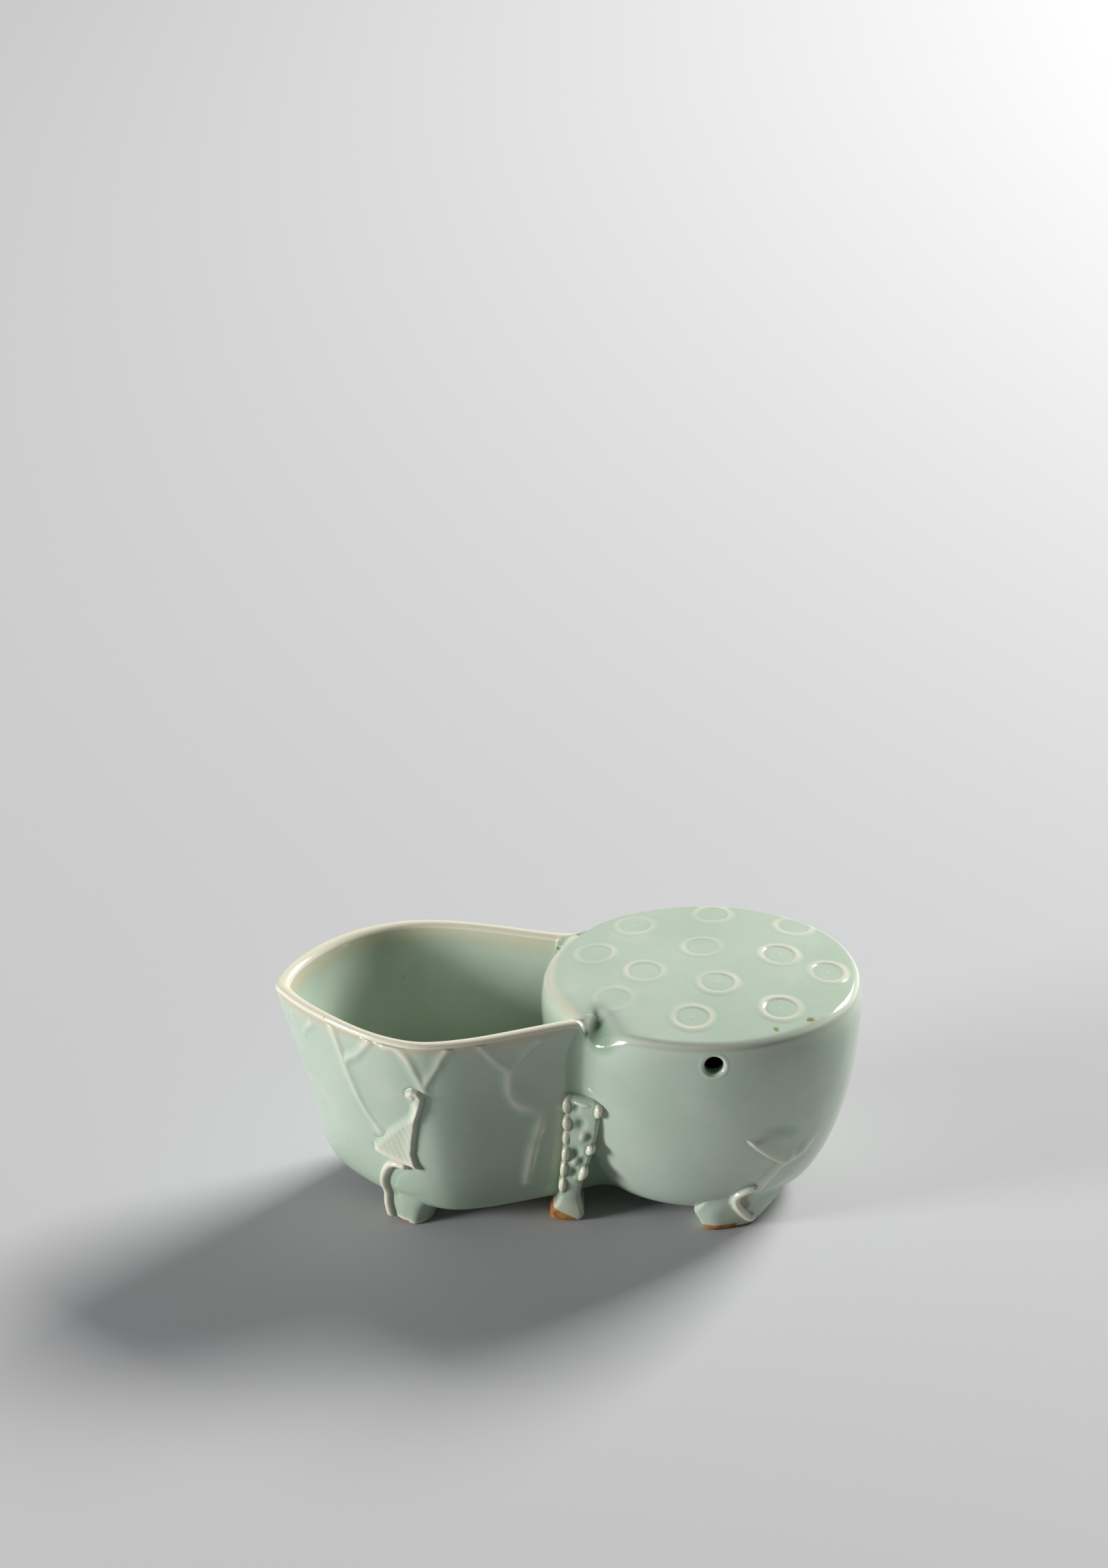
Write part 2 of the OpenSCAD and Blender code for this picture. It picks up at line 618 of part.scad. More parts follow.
module leaf_foot_right() {
    color("#d3dcc4")
        difference() {
            patch([
                pod_foot_row(-55, -42, base_z + 11, base_z + 11, [0.7, 0.5, 0.3, 0.2, 0.2, 0.2], 1.5),
                pod_foot_row(-61, -42, base_z + 9.4, base_z + 9.4, [curl_h, 0.6, 0.4, 0.3, 0.2, 0.2], 1.5),
                pod_foot_row(-65.5, -44, base_z + 7.4, base_z + 7.4, [curl_h, 0.7, 0.5, 0.4, 0.3, 0.2], 1.5),
                pod_foot_row(-69, -47, base_z + 5.4, base_z + 5.4, [0.9 * curl_h, 0.7, 0.5, 0.5, 0.4, 0.2], 2.5),
                pod_foot_row(-84, -52, heel_z + 0.6, heel_z + 0.6, [0.2, 0.5, 0.5, curl_h, 0.6, 0.3], 4.5),
                pod_foot_row(-96, -57, base_z, heel_z, [-1.2, 0.2, 0.6, 0.4, curl_h, 0.2], 5.5),
                pod_foot_row(-93, -60, 0.5 * base_z, heel_z, [-1, 0.2, 0.5, 0.2, 0.4 * curl_h, -0.4], 5.5),
                pod_foot_row(-90, -63, 0, heel_z, [-1, -0.2, -0.2, -0.3, -0.2, -1.4], 5)
            ]);
            pod_solid();
        }
}

module leaf_foot_back_left() {
    color("#d3dcc4")
        difference() {
            patch([
                foot_row(1, 0.8, 0.72, base_z + 9, base_z + 9, [0.4, 0.5, 0.7 * curl_h, 0.5], 1.5),
                foot_row(1, 0.86, 0.66, base_z + 7, base_z + 7, [0.2, 0.2, 0.6 * curl_h, 0.8 * curl_h], 1.5),
                foot_row(1, 0.92, 0.63, heel_z, heel_z, [0.3, 0.5, 0.5, 0.9 * curl_h], 4),
                foot_row(1, 0.93, 0.64, base_z, heel_z, [-0.6, 0.5, 0.3, 0.5], 5),
                foot_row(1, 0.88, 0.66, 0, heel_z, [-1.8, -0.4, -0.5, -0.6], 4.6)
            ]);
            cup_solid();
        }
}

module leaf_foot_back_right() {
    color("#d3dcc4")
        difference() {
            patch([
                pod_foot_row(55, 63, base_z + 9.5, base_z + 9.5, [0.3, 0.4, 0.5 * curl_h, 0.5], 1.5),
                pod_foot_row(50, 69, base_z + 7, base_z + 7, [0.2, 0.4, 0.6 * curl_h, 0.8 * curl_h], 1.5),
                pod_foot_row(52, 82, heel_z + 0.6, heel_z + 0.6, [0.3, 0.5, 0.6 * curl_h, 0.5], 4.5),
                pod_foot_row(56, 92, base_z, heel_z, [0.2, 0.7 * curl_h, 0.6, -0.6], 5.5),
                pod_foot_row(61, 88, 0, heel_z, [-1.2, -0.2, -0.3, -1], 5)
            ]);
            pod_solid();
        }
}

// The thorny stalk in the waist

// forward places the stalk is measured from: its left edge keeps to the cup's neck, its right edge to the pod
stalk_left_y = neck_wid / 2;
stalk_right_y = 0.3085 * pod_wid;
// bulge of the stalk's face between its edges
stalk_bulge = 0.35;

// one level of the stalk: height, left and right of its face from the neck, and how far forward each is
function stalk_row(z, xl, yl, xr, yr, k) = [for (j = [0:3])
    let (
        q = j / 3,
        x = neck_x + xl + (xr - xl) * q,
        y = -(stalk_left_y + yl) * (1 - q) - (stalk_right_y + yr) * q - (j == 1 || j == 2 ? stalk_bulge : 0)
    )
    [[x, y, z], [x + 0.4, y + k, z]]];

// edge points of the stalk's face that carry thorns: x from the neck, how far forward, share of its height
thorns_left = [[-3.5, 0.3, 0.955], [-3.4, 0.25, 0.82], [-3.45, 0.1, 0.7], [-3.6, 0.05, 0.58], [-3.75, 0, 0.45],
    [-3.95, -0.1, 0.32]];
thorns_right = [[2.1, 2.3, 0.94], [1, 1.2, 0.6], [0.2, 0.6, 0.39]];

// thorns at the places q, forward of y
module thorns(places, y) {
    for (q = places)
        translate([neck_x + q[0], -y - q[1], stalk_top * q[2]])
            scale([0.8, 0.9, 1.2])
            sphere(d = thorn_d, $fn = 12);
}

module stalk() {
    color("#d9ddc8")
        difference() {
            union() {
                patch([
                    stalk_row(stalk_top, -3.6, 0.1, 2.3, 2.3, 7),
                    stalk_row(stalk_top - 1, -4, 0.3, 2.7, 2.9, 8),
                    stalk_row(0.75 * stalk_top, -3.9, 0.2, 2.1, 2.1, 9),
                    stalk_row(0.5 * stalk_top, -4.1, 0.1, 1, 1, 9),
                    stalk_row(0.3 * stalk_top, -4.4, -0.1, 0.3, 0.5, 9),
                    stalk_row(0.17 * stalk_top, -4.5, -0.3, -0.4, 0.2, 9),
                    stalk_row(0.5 * base_z, -6, -1.4, 0, -0.6, 5.5),
                    stalk_row(0, -6, -2, -0.6, -1.2, 4)
                ]);
                thorns(thorns_left, stalk_left_y);
                thorns(thorns_right, stalk_right_y);
            }
            cup_solid();
            pod_solid();
        }
}

pod_floor();
pod_wall();
pod_lid();
cup_floor();
cup_wall();
rib_left();
rib_middle();
rib_right();
rib_back_left();
rib_back_right();
leaf_lappet();
leaf_foot_left();
stalk();
pod_lappet();
leaf_foot_right();
leaf_foot_back_left();
leaf_foot_back_right();
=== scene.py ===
# Celadon water dropper: a lotus seed pod joined to an open lotus leaf cup on
# small leaf feet. Lengths in this file are millimetres until a piece is
# finished, when it is scaled to metres in the frame of the CAD model.

import math

import bmesh
import bpy
from mathutils import Matrix, Vector, noise
from mathutils.bvhtree import BVHTree


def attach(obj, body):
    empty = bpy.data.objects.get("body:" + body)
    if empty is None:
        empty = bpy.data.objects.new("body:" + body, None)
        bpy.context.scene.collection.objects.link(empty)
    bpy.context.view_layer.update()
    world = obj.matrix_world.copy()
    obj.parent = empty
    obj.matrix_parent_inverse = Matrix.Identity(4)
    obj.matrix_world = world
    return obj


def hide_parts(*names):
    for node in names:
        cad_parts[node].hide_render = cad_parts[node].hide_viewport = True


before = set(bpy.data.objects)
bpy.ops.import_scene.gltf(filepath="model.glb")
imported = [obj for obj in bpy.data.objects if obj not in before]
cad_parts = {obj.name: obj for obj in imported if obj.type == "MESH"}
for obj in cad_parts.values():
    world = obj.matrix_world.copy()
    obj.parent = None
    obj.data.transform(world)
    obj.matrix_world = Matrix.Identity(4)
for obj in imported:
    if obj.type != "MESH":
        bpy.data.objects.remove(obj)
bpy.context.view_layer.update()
MM = 0.001

# Sizes shared with the CAD model
OVERALL_LEN = 104.0
RIM_Z = 42.0
BASE_Z = 3.2
BOWL_H = RIM_Z - BASE_Z
CENTRE_X = -0.36
POD_LEN = 56.2
POD_WID = 49.6
POD_X = OVERALL_LEN / 2 - POD_LEN / 2 + CENTRE_X
CROWN = 1.75
DOME_SHARE = 0.94
SEED_D = 7.8
HOLE_D = 3.3
HOLE_Z = RIM_Z - 4.1
WALL_T = 2.6
LIP_T = 2.0
CUP_WID = 44.4
NECK_WID = 30.6
TIP_X = -OVERALL_LEN / 2 + CENTRE_X
BELLY_X = TIP_X + 26.5
NECK_X = POD_X - 0.765 * POD_LEN / 2
CUP_CX = NECK_X - 10.4
HEEL_Z = BASE_Z + 2.6
STALK_TOP = 26.8
FRONT, BACK = -1, 1


# Curves

def clamp(x, low=0.0, high=1.0):
    return max(low, min(high, x))


def ease(x, low=0.0, high=1.0):
    """0 below low, 1 above high, smooth between."""
    x = clamp((x - low) / (high - low))
    return x * x * (3 - 2 * x)


def mix(a, b, q):
    return a + (b - a) * q


def cubic(a, b, c, d, t):
    s = 1 - t
    return a * (s * s * s) + b * (3 * t * s * s) + c * (3 * t * t * s) + d * (t * t * t)


def cubic_slope(a, b, c, d, t):
    s = 1 - t
    return (b - a) * (s * s) + (c - b) * (2 * t * s) + (d - c) * (t * t)


def look_up(table, z):
    """Value at z in a rising table of (z, value) pairs."""
    if z <= table[0][0]:
        return table[0][1]
    if z >= table[-1][0]:
        return table[-1][1]
    low, high = 0, len(table) - 1
    while high - low > 1:
        mid = (low + high) // 2
        if table[mid][0] <= z:
            low = mid
        else:
            high = mid
    (z0, v0), (z1, v1) = table[low], table[high]
    return mix(v0, v1, (z - z0) / (z1 - z0))


def through(values, x):
    """Smooth curve through evenly spaced values, at x from 0 to 1."""
    n = len(values) - 1
    i = min(int(x * n), n - 1)
    t = x * n - i
    p1, p2 = values[i], values[i + 1]
    p0 = values[i - 1] if i else p1 * 2 - p2
    p3 = values[i + 2] if i + 2 <= n else p2 * 2 - p1
    return 0.5 * (p1 * 2 + (p2 - p0) * t + (p0 * 2 - p1 * 5 + p2 * 4 - p3) * (t * t)
                  + (p1 * 3 - p0 - p2 * 3 + p3) * (t * t * t))


# The cup's and the pod's share of their full size at each height
CUP_SHARE = [(cubic(BASE_Z, BASE_Z + 0.6, BASE_Z + 0.28 * BOWL_H, BASE_Z + 0.54 * BOWL_H, i / 60),
              cubic(0.64, 0.83, 0.8, 0.88, i / 60)) for i in range(61)] + [(RIM_Z, 1.0)]
POD_SHARE = [(cubic(BASE_Z, BASE_Z + 1.6, BASE_Z + 0.43 * BOWL_H, BASE_Z + 0.845 * BOWL_H, i / 60),
              cubic(0.62, 0.81, 0.99, 1.015, i / 60)) for i in range(61)]
POD_SHARE += [(cubic(BASE_Z + 0.845 * BOWL_H, BASE_Z + 0.9 * BOWL_H, BASE_Z + 0.95 * BOWL_H, RIM_Z, i / 20),
               cubic(1.015, 1.018, 1.004, 0.985, i / 20)) for i in range(1, 21)]


def cup_share(z):
    return look_up(CUP_SHARE, z)


def height_at(f):
    """Height at share f of the bowls' height."""
    return BASE_Z + f * BOWL_H


# The leaf cup's outline

def leaf_handles(side, part, d):
    half = CUP_WID / 2 - d
    neck = NECK_WID / 2 - 0.3 * side - 0.95 * d
    if part == 0:
        return (Vector((TIP_X + 1.3 * d, 0)),
                Vector((TIP_X + 1 + 1.2 * d, side * (6.5 + 2.5 * side) * (1 - 0.07 * d))),
                Vector((BELLY_X - 12 - side + 0.45 * d, side * half)),
                Vector((BELLY_X, side * half)))
    return (Vector((BELLY_X, side * half)), Vector((BELLY_X + 7.5, side * half)),
            Vector((NECK_X - 10.5 - 0.2 * d, side * (neck + 2.6))),
            Vector((NECK_X - 0.3 * d, side * neck)))


def into_pod(side):
    """The way that the outline runs on past the neck, into the pod."""
    return Vector((16, -6 * side))


def leaf_point(side, t, d=0.0):
    """Outline at t: 0 tip, 1 widest, 2 neck, more runs on into the pod. d is set in."""
    if t <= 1:
        return cubic(*leaf_handles(side, 0, d), t)
    if t <= 2:
        return cubic(*leaf_handles(side, 1, d), t - 1)
    return leaf_handles(side, 1, d)[3] + into_pod(side) * (t - 2)


def leaf_outward(side, t):
    if t <= 1:
        v = cubic_slope(*leaf_handles(side, 0, 0), t)
    elif t <= 2:
        v = cubic_slope(*leaf_handles(side, 1, 0), t - 1)
    else:
        v = into_pod(side)
    v.normalize()
    return Vector((-side * v.y, side * v.x))


def leaf_plan(side, t, z, d=0.0):
    s = cup_share(z)
    p = leaf_point(side, t, d / s)
    return Vector((CUP_CX + (p.x - CUP_CX) * s, p.y * s))


LEAF_RUN = {}
for edge in (FRONT, BACK):
    run, total, last = [(0.0, 0.0)], 0.0, leaf_point(edge, 0)
    for k in range(1, 241):
        here = leaf_point(edge, k / 100)
        total += (here - last).length
        run.append((total, k / 100))
        last = here
    LEAF_RUN[edge] = run


def run_at(side, t):
    """Length along the outline from the tip to t."""
    return look_up([(b, a) for a, b in LEAF_RUN[side]], t)


# The pod's ellipse

ROLL_LOW = 40.2
ROLL_H = 1.6
POD_TOP_SHARE = look_up(POD_SHARE, ROLL_LOW)
LID_HALF = (POD_LEN / 2 * POD_TOP_SHARE, POD_WID / 2 * POD_TOP_SHARE)
NECK_ANGLE = math.radians(142)


def roll_width(q):
    """Width of the lid's rolled edge at eccentric angle q: broad towards the cup."""
    return 1.5 + 1.5 * ease(-math.cos(q), 0.45, 0.95)


def dome_rise(x, y):
    """Height of the lid's crown above its seat, from the pod's middle."""
    return CROWN * (1 - (2 * x / (POD_LEN * DOME_SHARE)) ** 2 - (2 * y / (POD_WID * DOME_SHARE)) ** 2)


def roll_in(z, q):
    """How far the rolled edge has turned in at height z."""
    up = clamp((z - ROLL_LOW) / (ROLL_H + 0.24), 0, 0.985)
    return roll_width(q) * (1 - math.sqrt(1 - up * up))


def pod_half(z, q=NECK_ANGLE):
    """Half sizes of the pod's ellipse at height z, with the roll as it is at angle q."""
    s = look_up(POD_SHARE, min(z, ROLL_LOW))
    set_in = roll_in(z, q)
    return POD_LEN / 2 * s - set_in, POD_WID / 2 * s - set_in


def ellipse(half, q, out=0.0):
    a, b = half
    n = Vector((math.cos(q) / a, math.sin(q) / b)).normalized()
    return Vector((POD_X + a * math.cos(q), b * math.sin(q))) + n * out


def nearest_angle(half, p):
    a, b = half
    x, y = p.x - POD_X, p.y
    q = math.atan2(y / b, x / a)
    for _ in range(6):
        sq, cq = math.sin(q), math.cos(q)
        slope = (b * b - a * a) * sq * cq + a * x * sq - b * y * cq
        bend = (b * b - a * a) * (cq * cq - sq * sq) + a * x * cq + b * y * sq
        q -= slope / bend
    return q


def gap_to_pod(half, p):
    q = nearest_angle(half, p)
    near = ellipse(half, q)
    inside = ((p.x - POD_X) / half[0]) ** 2 + (p.y / half[1]) ** 2 < 1
    return -(p - near).length if inside else (p - near).length


# The hand of the potter: slow unevenness, and the thumb's hollow where the front lip meets the pod

HOLLOW_X = 4.0
HOLLOW_HEAD = -9.3
HOLLOW_DEPTH = 2.7


def hollow_at(x, y):
    """Share of the thumb's hollow at x and y: it starts on the lid and deepens towards the waist."""
    run = HOLLOW_HEAD - y
    if run <= 0:
        return 0.0
    half = 0.7 + 0.24 * run
    return ease(run, 0.0, 7.0) * math.exp(-((x - HOLLOW_X) / half) ** 2)


# noise_vector depends on the random seed, which Blender otherwise takes from the clock
NOISE_SEED = 1
noise.seed_set(NOISE_SEED)


def by_hand(p):
    slow = noise.noise_vector(p * 0.045 + Vector((3.1, 7.7, 1.3)))
    mid = noise.noise_vector(p * 0.12 + Vector((9.4, 2.2, 5.9)))
    move = slow * 0.3 + mid * 0.07
    move.z *= ease(p.z, 1.0, 12.0) * 0.6
    q = p + move
    q.x -= math.copysign(0.2 * ease(abs(p.x), 47, 52), p.x)
    q.y -= math.copysign(0.14 * ease(abs(p.y), 21, 25), p.y)
    q.z -= HOLLOW_DEPTH * hollow_at(p.x, p.y) * ease(p.z, 31, 41)
    return q


# Working the mesh

PAINT = ("thin", "pool", "bare", "tan")


class Clay:
    """A bmesh with the glaze's paint on its points, each from 0 to 1: thin glaze, pooled glaze with painted
    shade in hollows and deep places, bare clay, and tan.
    """

    def __init__(self):
        self.bm = bmesh.new()
        self.paint = [self.bm.verts.layers.float.new(k) for k in PAINT]

    def place(self, v, co, thin=0.0, pool=0.0, bare=0.0, tan=0.0):
        v.co = co
        for layer, share in zip(self.paint, (thin, pool, bare, tan)):
            v[layer] = share

    def start_ring(self, n):
        made = bmesh.ops.create_circle(self.bm, cap_ends=False, segments=n, radius=1.0)
        return made["verts"]

    def next_ring(self, ring):
        """Extrudes a closed ring of points; the new ones come back in the same order."""
        n = len(ring)
        edges = [self.bm.edges.get((ring[i], ring[(i + 1) % n])) for i in range(n)]
        made = bmesh.ops.extrude_edge_only(self.bm, edges=edges)["geom"]
        fresh = {v for v in made if isinstance(v, bmesh.types.BMVert)}
        return [next(e.other_vert(v) for e in v.link_edges if e.other_vert(v) in fresh) for v in ring]

    def grow(self, ring, levels):
        """levels: lists of (place, paint dict), one for each new ring."""
        for level in levels:
            ring = self.next_ring(ring)
            self.lay(ring, level)
        return ring

    def lay(self, ring, level):
        for v, (co, paint) in zip(ring, level):
            self.place(v, Vector(co), **paint)

    def cap(self, ring):
        rim = [self.bm.edges.get((ring[i], ring[(i + 1) % len(ring)])) for i in range(len(ring))]
        bmesh.ops.contextual_create(self.bm, geom=rim)

    def skin(self, levels):
        """A closed skin through all the levels, capped at its two ends."""
        ring = self.start_ring(len(levels[0]))
        self.lay(ring, levels[0])
        self.cap(ring)
        self.cap(self.grow(ring, levels[1:]))

    def finish(self, name, material, nodes=(), worked=True, outward=True):
        bm = self.bm
        if worked:
            for v in bm.verts:
                v.co = by_hand(v.co)
        if outward:
            bmesh.ops.recalc_face_normals(bm, faces=bm.faces[:])
        bmesh.ops.scale(bm, vec=Vector((MM, MM, MM)), verts=bm.verts[:])
        for f in bm.faces:
            f.smooth = True
        mesh = bpy.data.meshes.new(name)
        bm.to_mesh(mesh)
        bm.free()
        piece = bpy.data.objects.new(name, mesh)
        bpy.context.scene.collection.objects.link(piece)
        mesh.materials.append(material)
        if nodes:
            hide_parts(*nodes)
        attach(piece, "root")
        return piece


# Glaze and clay

def rgb(r, g, b):
    """Linear colour from the eight-bit values a painter would mix."""
    def lin(c):
        c /= 255
        return c / 12.92 if c <= 0.04045 else ((c + 0.055) / 1.055) ** 2.4
    return (lin(r), lin(g), lin(b), 1.0)


BODY = rgb(180, 197, 179)
CHAMBER_BODY = rgb(150, 172, 146)
CLOUDED = rgb(193, 205, 190)
MILKY = rgb(204, 208, 198)
GRAINED = rgb(164, 184, 160)
# deep green of pooled glaze, also used for painted shade in hollows and deep places
POOL_AND_SHADE_GREEN = rgb(128, 156, 124)
TAN_SHADE = rgb(186, 174, 142)
IVORY = rgb(231, 227, 206)
SPECKED = rgb(104, 112, 92)
IRON = rgb(138, 122, 48)
CLAY_ORANGE = rgb(192, 132, 66)
CLAY_BROWN = rgb(140, 92, 48)
HALO = rgb(205, 184, 138)

# place and size of the two rust-olive iron spots on the lid's front edge
IRON_SPOTS = ((34.6, -20.3, 42.2, 0.75), (40.8, -17.2, 42.0, 0.95))


class Nodes:
    def __init__(self, name):
        self.material = bpy.data.materials.new(name)
        self.material.use_nodes = True
        self.tree = self.material.node_tree
        self.tree.nodes.clear()

    def add(self, kind, **settings):
        node = self.tree.nodes.new(kind)
        for k, v in settings.items():
            setattr(node, k, v)
        return node

    def link(self, a, b):
        self.tree.links.new(a, b)

    def math(self, operation, a, b, clamped=False):
        node = self.add("ShaderNodeMath", operation=operation, use_clamp=clamped)
        for socket, value in zip(node.inputs, (a, b)):
            if isinstance(value, (int, float)):
                socket.default_value = value
            else:
                self.link(value, socket)
        return node.outputs[0]

    def plus(self, a, b, clamped=False):
        return self.math("ADD", a, b, clamped)

    def minus(self, a, b):
        return self.math("SUBTRACT", a, b)

    def times(self, a, b, clamped=False):
        return self.math("MULTIPLY", a, b, clamped)

    def ramp(self, value, low, high):
        node = self.add("ShaderNodeMapRange", interpolation_type="SMOOTHSTEP")
        node.inputs["From Min"].default_value = low
        node.inputs["From Max"].default_value = high
        self.link(value, node.inputs["Value"])
        return node.outputs["Result"]

    def blend(self, factor, a, b):
        node = self.add("ShaderNodeMix", data_type="RGBA", blend_type="MIX")
        for socket, value in zip((node.inputs[0], node.inputs[6], node.inputs[7]), (factor, a, b)):
            if isinstance(value, (int, float, tuple)):
                socket.default_value = value
            else:
                self.link(value, socket)
        return node.outputs[2]

    def noise(self, where, scale, detail=2.0, rough=0.5):
        node = self.add("ShaderNodeTexNoise")
        node.inputs["Scale"].default_value = scale
        node.inputs["Detail"].default_value = detail
        node.inputs["Roughness"].default_value = rough
        self.link(where, node.inputs["Vector"])
        return node.outputs["Fac"]


def celadon(name, body):
    """Glossy pale green glaze: ivory where it runs thin, deep green where it pools and where shade is painted
    into hollows, low on the walls and deep in the well.
    """
    n = Nodes(name)
    out = n.add("ShaderNodeOutputMaterial")
    glaze = n.add("ShaderNodeBsdfPrincipled")
    where = n.add("ShaderNodeTexCoord").outputs["Object"]
    thin, pool, bare, warm = (n.add("ShaderNodeAttribute", attribute_name=k).outputs["Fac"] for k in PAINT)

    cloud = n.noise(where, 55, 3.0, 0.55)
    milk = n.noise(where, 150, 2.0, 0.5)
    grain = n.noise(where, 900, 2.0, 0.6)
    colour = n.blend(n.times(n.ramp(cloud, 0.35, 0.7), 0.7), body, CLOUDED)
    colour = n.blend(n.times(n.ramp(milk, 0.5, 0.8), 0.35), colour, MILKY)
    colour = n.blend(n.times(n.ramp(grain, 0.35, 0.75), 0.08), colour, GRAINED)

    # pooled glaze, and the shade painted with it, is a deeper and bluer green
    pool_and_shade_share = n.plus(pool, n.times(n.minus(cloud, 0.5), 0.25), True)
    colour = n.blend(n.times(n.ramp(pool_and_shade_share, 0.12, 0.95), 0.85), colour, POOL_AND_SHADE_GREEN)

    # thin glaze breaks to warm ivory, over a tan tone where the clay shows through; the same tan paints
    # shadow lines beside raised edges and in small hollows
    uneven = n.plus(warm, n.times(n.minus(milk, 0.5), 0.6))
    shade = n.times(n.ramp(uneven, 0.1, 0.9), 0.7)
    colour = n.blend(shade, colour, TAN_SHADE)
    broken = n.times(thin, n.plus(0.85, n.times(milk, 0.3)), True)
    colour = n.blend(n.ramp(broken, 0.02, 0.95), colour, IVORY)

    # pinholes and grey-green specks
    pits = n.add("ShaderNodeTexVoronoi", feature="F1")
    pits.inputs["Scale"].default_value = 210
    n.link(where, pits.inputs["Vector"])
    cell = n.add("ShaderNodeSeparateColor")
    n.link(pits.outputs["Color"], cell.inputs["Color"])
    dot = n.minus(1.0, n.ramp(pits.outputs["Distance"], 0.025, 0.055))
    speck = n.times(dot, n.math("GREATER_THAN", cell.outputs["Red"], 0.86))
    colour = n.blend(n.times(speck, 0.55), colour, SPECKED)

    # iron spots with a ragged edge
    for x, y, z, size in IRON_SPOTS:
        away = n.add("ShaderNodeVectorMath", operation="DISTANCE")
        n.link(where, away.inputs[0])
        away.inputs[1].default_value = (x * MM, y * MM, z * MM)
        rough_edge = n.times(n.minus(grain, 0.5), 0.0016)
        gap = n.plus(away.outputs["Value"], rough_edge)
        spot = n.minus(1.0, n.ramp(gap, size * 0.45 * MM, size * MM))
        colour = n.blend(n.times(spot, 0.85), colour, IRON)

    # bare clay of the foot rims, burnt orange where the flame touched it
    edge = n.plus(bare, n.times(n.minus(n.noise(where, 420, 3.0), 0.5), 0.7))
    unglazed = n.ramp(edge, 0.42, 0.58)
    clay = n.blend(n.ramp(n.noise(where, 700, 3.0), 0.35, 0.7), CLAY_ORANGE, CLAY_BROWN)
    halo = n.times(n.ramp(edge, 0.2, 0.45), 0.55)
    colour = n.blend(halo, colour, HALO)
    colour = n.blend(unglazed, colour, clay)

    n.link(colour, glaze.inputs["Base Color"])
    shine = n.plus(0.13, n.times(unglazed, 0.6))
    n.link(shine, glaze.inputs["Roughness"])
    glaze.inputs["IOR"].default_value = 1.52
    ripple = n.plus(n.times(n.noise(where, 260, 2.0), 0.6),
                    n.times(grain, 0.10))
    bump = n.add("ShaderNodeBump")
    bump.inputs["Strength"].default_value = 0.10
    bump.inputs["Distance"].default_value = 0.0005
    n.link(ripple, bump.inputs["Height"])
    n.link(bump.outputs["Normal"], glaze.inputs["Normal"])
    n.link(glaze.outputs["BSDF"], out.inputs["Surface"])
    return n.material


GLAZE = celadon("celadon_glaze", BODY)
THIN_GLAZE = celadon("thin_celadon_glaze", BODY)
FOOT_GLAZE = celadon("foot_glaze_and_bare_clay", BODY)
CHAMBER = celadon("chamber_glaze", CHAMBER_BODY)


# The pod: underside, swelling wall, rolled edge and domed lid in one skin, and the water chamber inside

POD_SIDES = 192
UNDER_RISE = 0.35
CHAMBER_LOW, CHAMBER_HIGH = BASE_Z + 2.9, RIM_Z - 2.2
CHAMBER_STEPS = 12
CHAMBER_IN = WALL_T + 3
# shares of the bowl's height where the close rings round the underside's edge lie
POD_LOW_RINGS = (0, 0.0012, 0.003, 0.006, 0.011, 0.018, 0.027, 0.038, 0.052, 0.07, 0.09, 0.115, 0.14,
                 0.17, 0.2)


def pod_angles():
    return [2 * math.pi * i / POD_SIDES for i in range(POD_SIDES)]


def in_hollow(x, y, z, paint):
    """Paint with the thumb's hollow added: pooled glaze and painted shade in its crease."""
    # painted shade and pooled glaze, deepening down the hollow towards the waist, take the place of thin and
    # tan
    deep = 0.75 * clamp(1.3 * hollow_at(x, y)) * ease(z, 37.0, 41.0)
    paint = dict(paint)
    paint["pool"] = max(paint.get("pool", 0.0), deep)
    for k in ("thin", "tan"):
        paint[k] = paint.get(k, 0.0) * (1 - deep)
    return paint


def pod_level(z, out=0.0, shrink=1.0, **paint):
    half = pod_half(z) if z <= ROLL_LOW else LID_HALF
    row = []
    for q in pod_angles():
        p = ellipse(half, q, out)
        row.append(((POD_X + (p.x - POD_X) * shrink, p.y * shrink, z), in_hollow(p.x, p.y, z, paint)))
    return row


def lid_level(turn, shrink=1.0):
    """A ring of the lid: turn runs 0 at the wall to 1 at the top of the roll."""
    row = []
    for q in pod_angles():
        w = roll_width(q)
        a = turn * math.pi / 2
        edge = ellipse(LID_HALF, q)
        p = ellipse(LID_HALF, q, -w * (1 - math.cos(a)))
        x, y = (p.x - POD_X) * shrink, p.y * shrink
        crown = dome_rise(x, y) - dome_rise(edge.x - POD_X, edge.y)
        z = ROLL_LOW + ROLL_H * math.sin(a) + crown
        broad = ease(-math.cos(q), 0.45, 0.95)
        thin, tan = 0.12 * shrink ** 4, 0.0
        if shrink == 1.0:
            thin = max(thin, mix(0.5, 0.72, broad) * math.exp(-((turn - 0.5) / mix(0.22, 0.3, broad)) ** 2))
            tan = 0.4 * math.exp(-((turn - 0.25) / 0.14) ** 2) * (1 - broad)
        row.append(((POD_X + x, y, z), in_hollow(POD_X + x, y, z, {"thin": thin, "tan": tan})))
    return row


